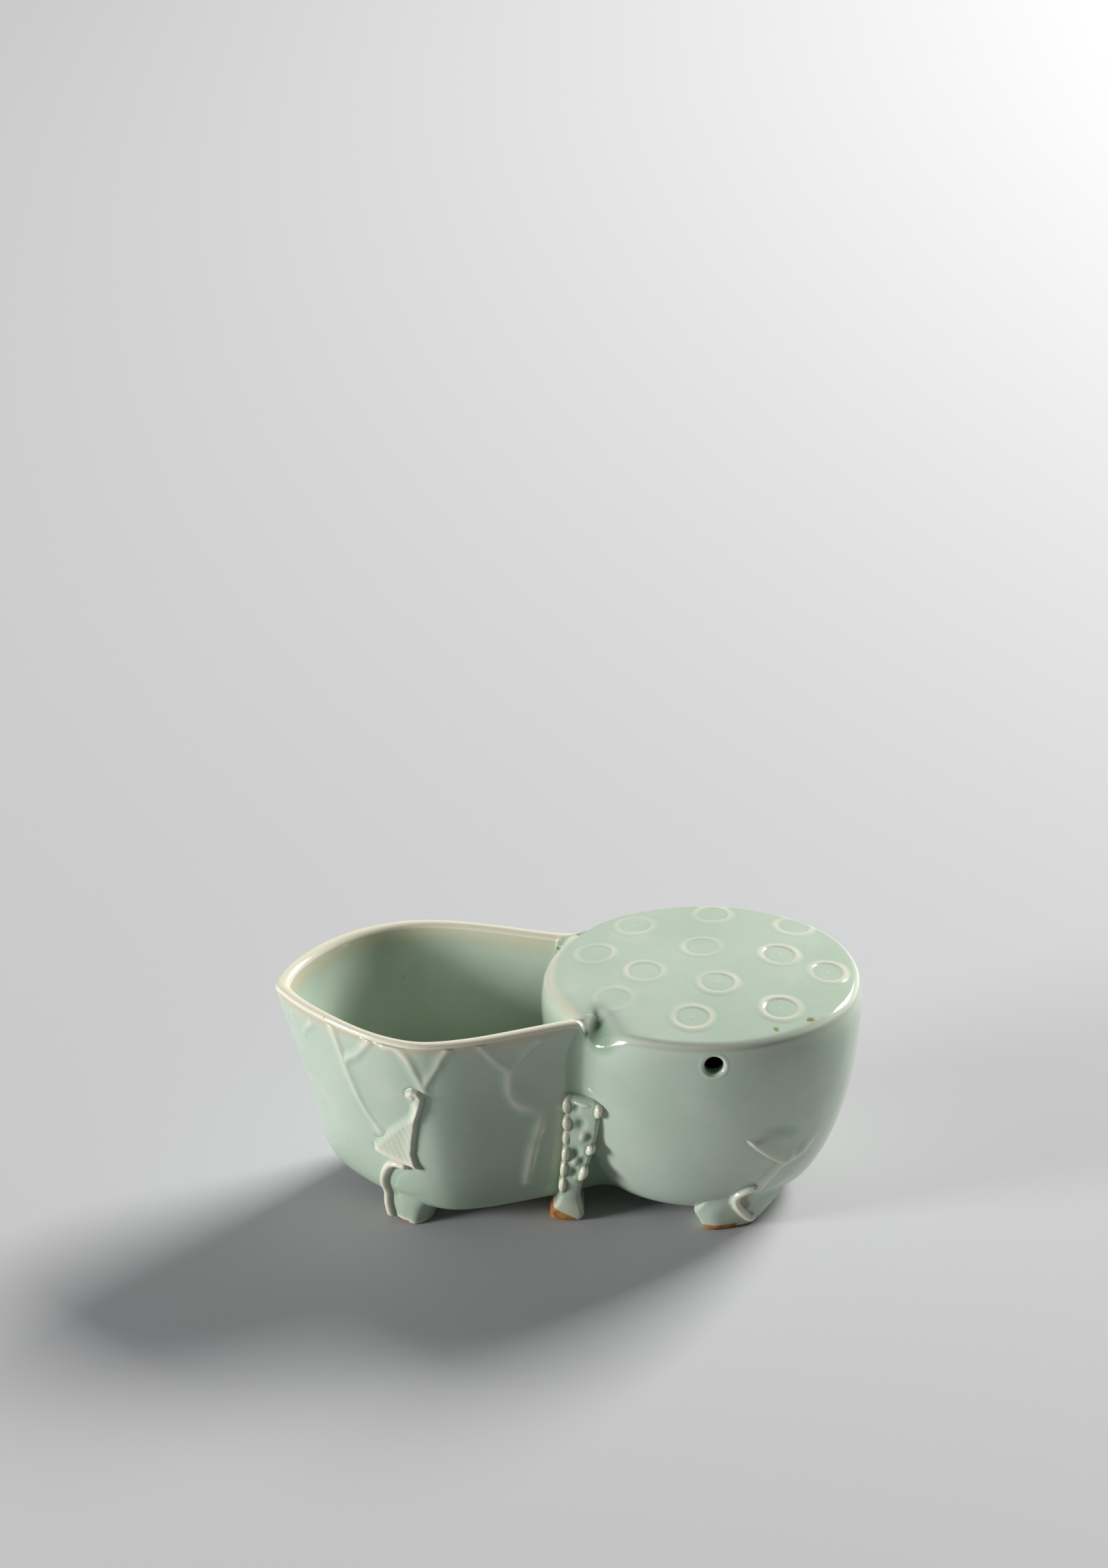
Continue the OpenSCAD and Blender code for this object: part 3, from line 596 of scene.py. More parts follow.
def make_pod():
    under = [pod_level(BASE_Z + UNDER_RISE, shrink=0.02)]
    under += [pod_level(BASE_Z + UNDER_RISE * (1 - ease(k, 0.6, 1.0)), shrink=k)
              for k in (0.3, 0.6, 0.8, 0.92, 0.97)]
    heights = [height_at(f) for f in POD_LOW_RINGS]
    z = heights[-1]
    while z < ROLL_LOW - 1.2:
        z += 0.95
        heights.append(z)
    heights.append(ROLL_LOW)
    wall = [pod_level(h, thin=0.25 * ease(h, 37.5, 40.2)) for h in heights if h <= ROLL_LOW]
    roll = [lid_level(k / 14) for k in range(1, 15)]
    lid = [lid_level(1.0, 1 - k / 40) for k in range(1, 40)] + [lid_level(1.0, 0.01)]
    clay = Clay()
    clay.skin(under + wall + roll + lid)
    return clay.finish("pod_glaze", GLAZE, ("pod_wall", "pod_floor", "pod_lid"))


def make_chamber():
    """The water chamber's own skin, its faces turned inwards."""
    low, high = CHAMBER_LOW, CHAMBER_HIGH
    levels = [pod_level(low + 0.2, -CHAMBER_IN, 0.02)]
    levels += [pod_level(low, -CHAMBER_IN, k) for k in (0.4, 0.75, 0.95)]
    for k in range(CHAMBER_STEPS + 1):
        z = mix(low, high, k / CHAMBER_STEPS)
        round_in = 3.2 * (1 - math.sqrt(1 - (1 - clamp((z - low) / 5)) ** 2)) \
            + 1.8 * (1 - math.sqrt(1 - (1 - clamp((high - z) / 3)) ** 2))
        levels.append(pod_level(z, -WALL_T - round_in))
    levels += [pod_level(high, -WALL_T - 1.8, k) for k in (0.85, 0.5, 0.2, 0.02)]
    room = Clay()
    room.skin(levels)
    bmesh.ops.recalc_face_normals(room.bm, faces=room.bm.faces[:])
    bmesh.ops.reverse_faces(room.bm, faces=room.bm.faces[:])
    return room.finish("pod_chamber", CHAMBER, outward=False)


def drill(piece, cutter):
    """Cuts the cutter out of a piece, for good."""
    bool_mod = piece.modifiers.new("drill", "BOOLEAN")
    bool_mod.operation = "DIFFERENCE"
    bool_mod.solver = "EXACT"
    bool_mod.object = cutter
    bpy.context.view_layer.update()
    graph = bpy.context.evaluated_depsgraph_get()
    mesh = bpy.data.meshes.new_from_object(piece.evaluated_get(graph))
    piece.modifiers.clear()
    piece.data = mesh
    for f in mesh.polygons:
        f.use_smooth = True


def join(first, second):
    """Adds the second piece's mesh to the first and removes the second."""
    bm = bmesh.new()
    bm.from_mesh(first.data)
    bm.from_mesh(second.data)
    bm.to_mesh(first.data)
    bm.free()
    bpy.data.objects.remove(second)


HOLE_SIDES = 48
BORE_R = HOLE_D / 2 + 0.35


def make_bore():
    """One straight cutter through the pod, for the front hole and the back one."""
    bm = bmesh.new()
    bmesh.ops.create_cone(bm, cap_ends=True, segments=HOLE_SIDES, radius1=BORE_R * MM, radius2=BORE_R * MM,
                          depth=(POD_WID + 20) * MM)
    bmesh.ops.rotate(bm, verts=bm.verts[:], cent=Vector(), matrix=Matrix.Rotation(math.pi / 2, 3, "X"))
    bmesh.ops.translate(bm, verts=bm.verts[:], vec=Vector((POD_X, 0, HOLE_Z)) * MM)
    mesh = bpy.data.meshes.new("bore")
    bm.to_mesh(mesh)
    bm.free()
    cutter = bpy.data.objects.new("bore", mesh)
    bpy.context.scene.collection.objects.link(cutter)
    return cutter


pod = make_pod()
join(pod, make_chamber())
bore = make_bore()
drill(pod, bore)
bpy.data.objects.remove(bore)


# Glazed lips of the two water holes

# radius and height over the wall, from the lip's outer edge into the chamber
HOLE_LIP = ((3.0, -0.06), (2.75, 0.0), (2.45, 0.035), (2.2, 0.03), (2.0, -0.04), (1.83, -0.16),
            (1.72, -0.34), (1.66, -0.6), (1.65, -1.0), (1.65, -1.6), (1.67, -2.3), (1.8, -2.62), (2.1, -2.66))


def make_hole_lips():
    clay = Clay()
    for side in (FRONT, BACK):
        ring = clay.start_ring(HOLE_SIDES)
        spun = []
        for r, out in HOLE_LIP:
            row = []
            for i in range(HOLE_SIDES):
                a = 2 * math.pi * i / HOLE_SIDES
                x, z = r * math.cos(a), HOLE_Z + r * math.sin(a)
                half = pod_half(z)
                y = half[1] * math.sqrt(1 - (x / half[0]) ** 2)
                paint = {"thin": 0.55 * math.exp(-((r - 2.05) / 0.3) ** 2), "pool": ease(-out, 0.3, 1.2)}
                row.append(((POD_X + x, side * (y + out), z), paint))
            spun.append(row)
        clay.lay(ring, spun[0])
        clay.grow(ring, spun[1:])
    return clay.finish("hole_lips", GLAZE)


make_hole_lips()


# Stamped seeds on the lid

SEEDS = ((-0.67, 0.255), (-0.375, -0.06), (-0.39, 0.65), (0.115, 0.785), (0.01, 0.26), (0.07, -0.255),
         (0.49, 0.135), (0.615, 0.59), (0.78, -0.08), (0.44, -0.57), (-0.115, -0.67), (-0.585, -0.385))
SEED_STRENGTH = (0.7, 0.85, 0.6, 0.8, 0.75, 1.0, 1.15, 0.8, 1.0, 1.2, 1.1, 0.45)


def lid_height(x, y):
    """Top of the lid at x and y from the pod's middle."""
    p = Vector((POD_X + x, y))
    q = nearest_angle(LID_HALF, p)
    edge = ellipse(LID_HALF, q)
    away = max(0.02, -gap_to_pod(LID_HALF, p))
    w = roll_width(q)
    fall = 0.0 if away >= w else ROLL_H * (1 - math.sqrt(max(0.0, 1 - (1 - away / w) ** 2)))
    return ROLL_LOW + ROLL_H + dome_rise(x, y) - dome_rise(edge.x - POD_X, edge.y) - fall


def lid_share(x, y):
    """How far out towards the lid's edge: 0 in the middle, 1 at the roll."""
    return min(1.0, math.hypot(2 * x / (POD_LEN * POD_TOP_SHARE), 2 * y / (POD_WID * POD_TOP_SHARE)))


# how far a seed's patch stays inside the lid's edge, and how deep it is set
SEED_EDGE = 0.9
SEED_ROOT = 0.6
SEED_SIDES = 72
SEED_LINE_R = SEED_D / 2 - 0.65
SEED_RADII = [0.05 + 0.125 * i for i in range(39)]
SEED_UNDER_RADII = (SEED_RADII[-1], 3.6, 2.4, 1.2, 0.05)


def on_lid(x, y):
    """The place itself, or the nearest one that is still SEED_EDGE inside the lid's edge."""
    p = Vector((POD_X + x, y))
    past = gap_to_pod(LID_HALF, p) + SEED_EDGE
    if past > 0:
        p = ellipse(LID_HALF, nearest_angle(LID_HALF, p), -SEED_EDGE)
    return p.x - POD_X, p.y, ease(past, -0.8, 0.0)


def seed_place(cx, cy, r, i):
    """Angle and place on the lid of point i of a ring of radius r round a seed's middle."""
    a = 2 * math.pi * i / SEED_SIDES
    return a, *on_lid(cx + r * math.cos(a), cy + r * math.sin(a))


def seed_ring(k, strong, cx, cy, r):
    """One ring of seed k: the raised line, the shallow dish inside it and the dot in its middle."""
    row = []
    for i in range(SEED_SIDES):
        a, x, y, edge = seed_place(cx, cy, r, i)
        uneven = 1 + 0.2 * math.cos(a - 2.4 * k) + 0.12 * math.cos(2 * a + k)
        line_at = SEED_LINE_R * (1 + 0.02 * math.cos(2 * a + 1.3 * k))
        bump = math.exp(-((r - line_at) / (0.5 if r < line_at else 0.85)) ** 2)
        dish = 1 - ease(r, line_at - 0.9, line_at)
        dot = math.exp(-(r / 0.5) ** 2)
        h = strong * (0.17 * bump * uneven + 0.08 * dot) - 0.03 * dish * strong + 0.006 \
            - 0.028 * ease(r, 3.6, 4.8)
        h -= edge * (h + 0.04)
        line = clamp(0.2 + 0.5 * strong) * (0.62 * bump * uneven + 0.4 * dot)
        inside = dish * strong * (1 - 0.8 * dot)
        thin = clamp(0.12 * lid_share(x, y) ** 4 + line)
        paint = {"thin": thin, "pool": 0.16 * inside, "tan": 0.26 * inside}
        row.append(((POD_X + x, y, lid_height(x, y) + h), in_hollow(POD_X + x, y, RIM_Z, paint)))
    return row


def seed_under(cx, cy, r):
    row = []
    for i in range(SEED_SIDES):
        _, x, y, _ = seed_place(cx, cy, r, i)
        row.append(((POD_X + x, y, lid_height(x, y) - SEED_ROOT), {}))
    return row


def make_seeds():
    clay = Clay()
    for k, ((fx, fy), strong) in enumerate(zip(SEEDS, SEED_STRENGTH)):
        cx, cy = fx * POD_LEN / 2, fy * POD_WID / 2
        clay.skin([seed_ring(k, strong, cx, cy, r) for r in SEED_RADII]
                  + [seed_under(cx, cy, r) for r in SEED_UNDER_RADII])
    return clay.finish("seed_stamps", GLAZE)


make_seeds()


# The leaf cup

SIDE_STEPS = 84
FILLET_STEPS = 9
TUCK_STEPS = 5
BEHIND_STEPS = 18
CUP_FLOOR = 6.0
FLOOR_MID_X = -13.0
FLOOR_ROUND = 3.6
LIP_RISE = 1.0
LIP_STEPS = 12
WELL_CORNER = 1.2
# shares of the bowl's height where the close rings round the underside's edge lie
CUP_LOW_RINGS = (0.0005, 0.0012, 0.0025, 0.0045, 0.0075, 0.012, 0.018, 0.027, 0.04, 0.056, 0.076, 0.1,
                 0.125, 0.15)


def corner_fillet(side, z, d, radius, outside, half):
    """Where a rolling ball of that radius touches both the cup's side and the pod."""
    turn = 1 if outside else -1

    def ball(t):
        return leaf_plan(side, t, z, d) + leaf_outward(side, t) * (turn * radius)

    low, high = 1.2, 3.6
    for _ in range(26):
        mid = (low + high) / 2
        if gap_to_pod(half, ball(mid)) > radius:
            low = mid
        else:
            high = mid
    return low, ball(low)


SINK_Z = 39.4


def sunk(z, share, how_far=0.85):
    """Height of a ring point that dives under the pod's rolled edge."""
    return z - how_far * max(0.0, z - SINK_Z) * share


def between_corners(radii, shape_z, d, half):
    """Length of the pod's wall between the well's two corners."""
    front, back = (nearest_angle(half, corner_fillet(side, shape_z, d, r, False, half)[1]) % (2 * math.pi)
                   for side, r in zip((FRONT, BACK), radii))
    return (front - back) * half[0]


# run along the pod past each corner, the least wall between the corners, and the tightest corner
TUCK_RUN = 2.2
LEAST_BETWEEN = 2.5
TIGHTEST = 0.6


def cup_side(side, z, shape_z, d, radius, outside, skin, tuck, run):
    """Points from the tip to the pod, round the corner and along the pod, as (place, t, height).
    With them come the pod's half sizes at that height and the angle where the points end."""
    follow = side == BACK and outside
    a, b = pod_half(z) if follow else pod_half(min(z, ROLL_LOW))
    half = (a + skin, b + skin)
    t_end, centre = corner_fillet(side, shape_z, d, radius, outside, half)
    row = []
    for i in range(SIDE_STEPS + 1):
        t = t_end * i / SIDE_STEPS
        row.append((leaf_plan(side, t, shape_z, d), t, z))
    q = nearest_angle(half, centre)
    start = row[-1][0] - centre
    stop = ellipse(half, q) - centre
    a0, a1 = math.atan2(start.y, start.x), math.atan2(stop.y, stop.x)
    sweep = (a1 - a0 + math.pi) % (2 * math.pi) - math.pi
    for i in range(1, FILLET_STEPS + 1):
        share = i / FILLET_STEPS
        turn = a0 + sweep * share
        down = z if follow else sunk(z, ease(share, 0.3, 1.0))
        row.append((centre + Vector((math.cos(turn), math.sin(turn))) * radius, 2.0 + share, down))
    way = -side if outside else side
    for i in range(1, TUCK_STEPS + 1):
        share = i / TUCK_STEPS
        dq = way * run * share / half[0]
        down = sunk(z, share * share, 0.6) if follow else sunk(z, 1)
        row.append((ellipse(half, q + dq, -tuck * share * share), 3.0, down))
    return row, half, (q + way * run / half[0]) % (2 * math.pi)


def cup_level(z, shape_z, d, paint, outside=True, skin=0.0, tuck=0.3, radii=(4.2, 8.0)):
    """One closed ring of the cup: front side, a run along the pod, back side."""
    run = TUCK_RUN
    if not outside:
        half = [a + skin for a in pod_half(min(z, ROLL_LOW))]
        while between_corners(radii, shape_z, d, half) < LEAST_BETWEEN and radii[0] > TIGHTEST:
            radii = (0.8 * radii[0], 0.8 * radii[1])
        run = clamp(0.3 * between_corners(radii, shape_z, d, half) / TUCK_RUN) * TUCK_RUN
    front, half0, q0 = cup_side(FRONT, z, shape_z, d, radii[0], outside, skin, tuck, run)
    back, half1, q1 = cup_side(BACK, z, shape_z, d, radii[1], outside, skin, tuck, run)
    behind = []
    deep = 1.3 if outside else tuck
    for i in range(1, BEHIND_STEPS):
        share = i / BEHIND_STEPS
        half = (mix(half0[0], half1[0], share), mix(half0[1], half1[1], share))
        inset = mix(tuck, deep, math.sin(math.pi * share))
        down = mix(front[-1][2], back[-1][2], share)
        behind.append((ellipse(half, mix(q0, q1, share), -inset), 3.0, down))
    plan = front + behind + back[::-1][:-1]
    return [((p.x, p.y, down), in_hollow(p.x, p.y, z, paint(t, z))) for p, t, down in plan]


def inner_set_in(z):
    return look_up([(CUP_FLOOR, WALL_T + 0.6), (CUP_FLOOR + 8, WALL_T + 0.1), (RIM_Z - 11, WALL_T),
                    (RIM_Z - LIP_RISE, LIP_T)], z)


def outer_paint(t, z):
    near = ease(t, 1.7, 2.2) * (1 - ease(t, 2.6, 3.0))
    # darker green towards the foot: glaze that ran down, and painted shade on the lower wall
    low = 1 - ease(z, BASE_Z, BASE_Z + 20)
    thin = 0.3 * ease(z, 36.0, 41.2) + 0.3 * (1 - ease(abs(t), 0.0, 0.12)) * ease(z, 20, 40)
    tan = 0.75 * math.exp(-((z - 40.6) / 0.8) ** 2) + 0.25 * ease(z, 33, 40)
    return {"thin": thin * (1 - 0.7 * near), "pool": clamp(0.6 * near + 0.45 * low), "tan": tan * (1 - near)}


def inner_paint(t, z):
    near = ease(t, 1.9, 2.3) * (1 - ease(t, 2.8, 3.0))
    # darker green deeper in the well: pooled glaze and painted shade
    depth = 1 - ease(z, CUP_FLOOR + 3, RIM_Z - 5)
    return {"thin": 0.35 * ease(z, 37.0, 41.0) * (1 - 0.5 * near), "pool": clamp(0.6 * depth + 0.6 * near),
            "tan": 0.7 * ease(z, 36.0, 40.5) * (1 - near)}


def lip_paint(t, _):
    near = ease(t, 2.15, 2.6)
    return {"thin": 0.95 * (1 - 0.85 * near), "pool": 0.4 * near * (1 - ease(t, 2.8, 3.0))}


def cup_outside():
    """Rings over the underside and up the outer wall."""
    base = cup_level(BASE_Z, BASE_Z, 0.0, outer_paint)
    levels = []
    for k in (0.02, 0.35, 0.65, 0.85, 0.95):
        levels.append([((CUP_CX + (x - CUP_CX) * k, y * k, z + 0.12), paint) for (x, y, z), paint in base])
    heights = [height_at(f) for f in CUP_LOW_RINGS]
    z = heights[-1]
    while z < RIM_Z - 2.0:
        z += 0.9
        heights.append(z)
    heights.append(RIM_Z - LIP_RISE)
    for z in heights:
        back_r = mix(3.6, 7.5, ease(z, 30, 41))
        front_r = mix(4.4, 2.6, ease(z, 33, 41))
        levels.append(cup_level(z, z, 0.0, outer_paint, radii=(front_r, back_r)))
    return levels


def cup_lip():
    """Rings over the rolled lip."""
    levels = []
    for k in range(1, LIP_STEPS):
        share = k / LIP_STEPS
        a = math.pi * share
        outside = k <= LIP_STEPS / 2
        radii = (mix(2.6, 1.1, share), mix(7.5, 4.0, share)) if outside else (WELL_CORNER, WELL_CORNER)
        z = RIM_Z - LIP_RISE + LIP_RISE * math.sin(a)
        levels.append(cup_level(z, z, LIP_T / 2 * (1 - math.cos(a)), lip_paint, outside, radii=radii))
    return levels


def cup_well():
    """Rings down the inner wall, round into the floor and over it."""
    levels = []
    z = RIM_Z - LIP_RISE
    while z > CUP_FLOOR + 4.5:
        levels.append(cup_level(z, z, inner_set_in(z), inner_paint, False, radii=(WELL_CORNER, WELL_CORNER)))
        z -= 0.95
    for k in range(9):
        a = math.pi / 2 * k / 8
        z = CUP_FLOOR + FLOOR_ROUND * (1 - math.sin(a))
        skin = FLOOR_ROUND * (1 - math.cos(a))
        corner = WELL_CORNER + skin
        levels.append(cup_level(z, max(z, CUP_FLOOR), inner_set_in(z) + skin, inner_paint, False, skin=skin,
                                tuck=0.3 * (1 - ease(skin, 0.0, 0.6)), radii=(corner, corner)))
    last = levels[-1]
    for k in (0.9, 0.75, 0.55, 0.35, 0.15, 0.02):
        row = []
        for (x, y, z), paint in last:
            # the floor's paint evens out to pooled glaze with painted shade
            even = {key: mix(share, 0.6 if key == "pool" else 0.0, ease(1 - k, 0.0, 0.45))
                    for key, share in paint.items()}
            row.append(((FLOOR_MID_X + (x - FLOOR_MID_X) * k, y * k, CUP_FLOOR - 0.15 * (1 - k)), even))
        levels.append(row)
    return levels


def make_cup():
    clay = Clay()
    clay.skin(cup_outside() + cup_lip() + cup_well())
    return clay.finish("cup_glaze", GLAZE, ("cup_wall", "cup_floor"))


cup = make_cup()


# Relief pressed on the walls

def wall_point(chart, t, z, out, shape_z=None):
    """Point on the cup (chart is a side) or on the pod (chart is "pod", t in degrees)."""
    sz = z if shape_z is None else shape_z
    if chart == "pod":
        q = math.radians(t)
        p = ellipse(pod_half(sz), q, out)
        return Vector((p.x, p.y, z))
    p = leaf_plan(chart, t, sz) + leaf_outward(chart, t) * out
    return Vector((p.x, p.y, z))


def flat_place(chart, t, z):
    """Place on the unrolled wall in millimetres: along it, and up."""
    if chart == "pod":
        half = pod_half(z)
        q = math.radians(t)
        speed = math.hypot(half[0] * math.sin(q), half[1] * math.cos(q))
        return Vector((speed * (q + math.radians(62)), z))
    return Vector((run_at(chart, t) * cup_share(z), z))


def from_line(p, line):
    """Distance from p to a line of points, the share of the way along it, and the side p is on."""
    best = (1e9, 0.0, 1)
    n = len(line) - 1
    for i in range(n):
        a, b = line[i], line[i + 1]
        ab, ap = b - a, p - a
        f = clamp(ap.dot(ab) / max(ab.length_squared, 1e-9))
        gap = (ap - ab * f).length
        if gap < best[0]:
            cross = ab.x * ap.y - ab.y * ap.x
            best = (gap, (i + f) / n, 1 if cross > 0 else -1)
    return best


def smooth_line(line, steps=6):
    n = (len(line) - 1) * steps
    return [through(line, i / n) for i in range(n + 1)]


# how far relief starts over the wall, and the height below which it is cut away
SKIN_LIFT = 0.008
SUNK = -0.08
VEIN_WIDTH = 0.85
VEIN_HEIGHT = 0.4


def thicken(clay, out, depth=0.5):
    bm = clay.bm
    bmesh.ops.recalc_face_normals(bm, faces=bm.faces[:])
    if sum(f.normal.dot(out) for f in bm.faces) < 0:
        bmesh.ops.reverse_faces(bm, faces=bm.faces[:])
    bmesh.ops.solidify(bm, geom=bm.faces[:], thickness=depth)


def cut_out(clay, hidden, side):
    """Cuts away the faces that lie wholly in the wall, and gives the rest its thickness."""
    doomed = [f for f in clay.bm.faces if all(v in hidden for v in f.verts)]
    bmesh.ops.delete(clay.bm, geom=doomed, context="FACES")
    thicken(clay, Vector((0, side, 0)))


def make_veins(name, node, side, strokes):
    """Raised leaf veins: strokes of (t, share of the bowl's height), thickness at their two ends."""
    lines = []
    for line, w0, w1 in strokes:
        flat = smooth_line([flat_place(side, t, height_at(f)) for t, f in line])
        lines.append((flat, w0, w1))
    ts = [t for line, _, _ in strokes for t, _ in line]
    fs = [f for line, _, _ in strokes for _, f in line]
    t0, t1 = min(ts) - 0.09, max(ts) + 0.12
    z0, z1 = height_at(min(fs)) - 1.6, min(height_at(max(fs)) + 1.6, RIM_Z - 1.0)
    width = (flat_place(side, t1, z1) - flat_place(side, t0, z1)).length
    nu, nv = int(width / 0.26), int((z1 - z0) / 0.3)
    clay = Clay()
    bmesh.ops.create_grid(clay.bm, x_segments=nu, y_segments=nv, size=0.5)
    hidden = set()
    for v in clay.bm.verts:
        t, z = mix(t0, t1, v.co.x + 0.5), mix(z0, z1, v.co.y + 0.5)
        p = flat_place(side, t, z)
        h, crest = -0.09, 0.0
        for line, w0, w1 in lines:
            gap, along, hand = from_line(p, line)
            hand_made = 1 + 0.45 * noise.noise(Vector((p.x * 0.3, p.y * 0.3, 4.7)))
            w = VEIN_WIDTH * mix(w0, w1, along) * hand_made
            gap *= 1.0 if hand > 0 else 0.8
            bump = math.exp(-(gap / w) ** 2)
            skirt = ease(gap, 1.7 * w, 3.4 * w)
            h = max(h, VEIN_HEIGHT * mix(w0, w1, along) * bump * hand_made + SKIN_LIFT - 0.1 * skirt)
            crest = max(crest, 0.5 * math.exp(-(gap / (0.9 * w)) ** 2) * mix(w0, w1, along) * hand_made)
        wall = outer_paint(t, z)
        clay.place(v, wall_point(side, t, z, h), clamp(wall["thin"] + crest), wall["pool"] * (1 - crest),
                   tan=wall["tan"] * (1 - crest))
        if h < SUNK:
            hidden.add(v)
    cut_out(clay, hidden, side)
    return clay.finish(name, THIN_GLAZE, (node,))


VEINS_LEFT = (
    (((0.505, 0.965), (0.52, 0.86), (0.53, 0.77), (0.545, 0.68), (0.565, 0.59), (0.6, 0.5),
      (0.635, 0.43)), 0.9, 1.1),
    (((0.705, 0.965), (0.67, 0.92), (0.625, 0.865), (0.565, 0.82), (0.53, 0.77)), 0.6, 0.8),
    (((0.2, 0.9), (0.225, 0.85), (0.275, 0.825), (0.31, 0.865), (0.37, 0.92)), 0.6, 0.6),
)
VEINS_MIDDLE = (
    (((0.79, 0.97), (0.84, 0.965), (0.88, 0.93), (0.9, 0.89), (0.915, 0.84), (0.935, 0.795),
      (0.95, 0.745)), 1.2, 0.8),
    (((1.15, 0.965), (1.105, 0.925), (1.06, 0.875), (1.0, 0.82), (0.96, 0.775), (0.95, 0.74)), 0.9, 0.7),
)
VEINS_RIGHT = (
    (((1.38, 0.955), (1.42, 0.915), (1.47, 0.865), (1.52, 0.825), (1.555, 0.795), (1.55, 0.75), (1.55, 0.7),
      (1.56, 0.65), (1.6, 0.605), (1.65, 0.572), (1.7, 0.545), (1.74, 0.525)), 0.8, 0.9),
    (((1.73, 0.93), (1.67, 0.895), (1.62, 0.855), (1.575, 0.815), (1.555, 0.795)), 0.6, 0.6),
    (((1.755, 0.53), (1.76, 0.48), (1.74, 0.42), (1.72, 0.36), (1.7, 0.29), (1.685, 0.22),
      (1.665, 0.14)), 0.9, 0.8),
)
VEINS_BACK_LEFT = (
    (((0.54, 0.955), (0.57, 0.84), (0.6, 0.7), (0.62, 0.57), (0.66, 0.45), (0.71, 0.35)), 0.9, 0.9),
    (((0.585, 0.76), (0.64, 0.83), (0.71, 0.9), (0.77, 0.955)), 0.6, 0.9),
)
VEINS_BACK_RIGHT = (
    (((1.2, 0.96), (1.26, 0.9), (1.32, 0.83), (1.37, 0.77), (1.38, 0.68), (1.36, 0.58), (1.38, 0.48),
      (1.42, 0.38), (1.43, 0.26)), 1.0, 0.7),
    (((1.58, 0.94), (1.5, 0.88), (1.42, 0.81), (1.375, 0.76)), 0.9, 0.7),
)

make_veins("vein_left", "rib_left", FRONT, VEINS_LEFT)
make_veins("vein_middle", "rib_middle", FRONT, VEINS_MIDDLE)
make_veins("vein_right", "rib_right", FRONT, VEINS_RIGHT)
make_veins("vein_back_left", "rib_back_left", BACK, VEINS_BACK_LEFT)
make_veins("vein_back_right", "rib_back_right", BACK, VEINS_BACK_RIGHT)


# Folded leaf tips

def in_shape(p, shape):
    inside = False
    for a, b in zip(shape, shape[1:] + shape[:1]):
        if (a.y > p.y) != (b.y > p.y) and p.x < (b.x - a.x) * (p.y - a.y) / (b.y - a.y) + a.x:
            inside = not inside
    return inside


def soft(gap, width):
    return math.exp(-(gap / width) ** 2)


def beaded(gap, radius):
    """Round section of a rolled edge."""
    return max(0.0, 1 - (gap / radius) ** 2) ** 0.6


def wall_paint(chart, t, z):
    if chart == "pod":
        return {"thin": 0.25 * ease(z, 37.5, 40.2), "pool": 0.0, "tan": 0.0}
    return outer_paint(t, z)


def press(name, node, chart, t_range, z_range, step, shape_at):
    """Clay pressed on a wall. shape_at gives (height, thin, pooled glaze with painted shade, tan) at a place
    on the unrolled wall.
    """
    (t0, t1), (z0, z1) = t_range, z_range
    mid_z = (z0 + z1) / 2
    width = (flat_place(chart, t1, mid_z) - flat_place(chart, t0, mid_z)).length
    clay = Clay()
    bmesh.ops.create_grid(clay.bm, x_segments=int(width / step), y_segments=int((z1 - z0) / step), size=0.5)
    hidden = set()
    for v in clay.bm.verts:
        t, z = mix(t0, t1, v.co.x + 0.5), mix(z0, z1, v.co.y + 0.5)
        h, thin, pool, tan = shape_at(flat_place(chart, t, z))
        wall = wall_paint(chart, t, z)
        clay.place(v, wall_point(chart, t, z, h), clamp(max(thin, wall["thin"])),
                   clamp(max(pool, wall["pool"] * (1 - thin))),
                   tan=clamp(max(tan, wall["tan"] * (1 - thin))))
        if h < SUNK:
            hidden.add(v)
    cut_out(clay, hidden, FRONT if chart == "pod" else chart)
    return clay.finish(name, THIN_GLAZE, (node,))


def laid(chart, points, steps=5):
    return smooth_line([flat_place(chart, t, height_at(f)) for t, f in points], steps)


FLAP_SHARP = ((0.838, 0.71), (0.85, 0.735), (0.885, 0.752), (0.925, 0.745), (0.945, 0.705), (0.93, 0.655),
              (0.885, 0.562), (0.848, 0.454), (0.825, 0.36), (0.832, 0.31), (0.862, 0.265), (0.8, 0.279),
              (0.74, 0.286), (0.66, 0.296), (0.585, 0.306), (0.563, 0.335))
FLAP_SOFT = ((0.563, 0.335), (0.59, 0.375), (0.63, 0.415), (0.71, 0.495), (0.79, 0.565), (0.838, 0.6),
             (0.856, 0.64), (0.852, 0.68), (0.838, 0.71))


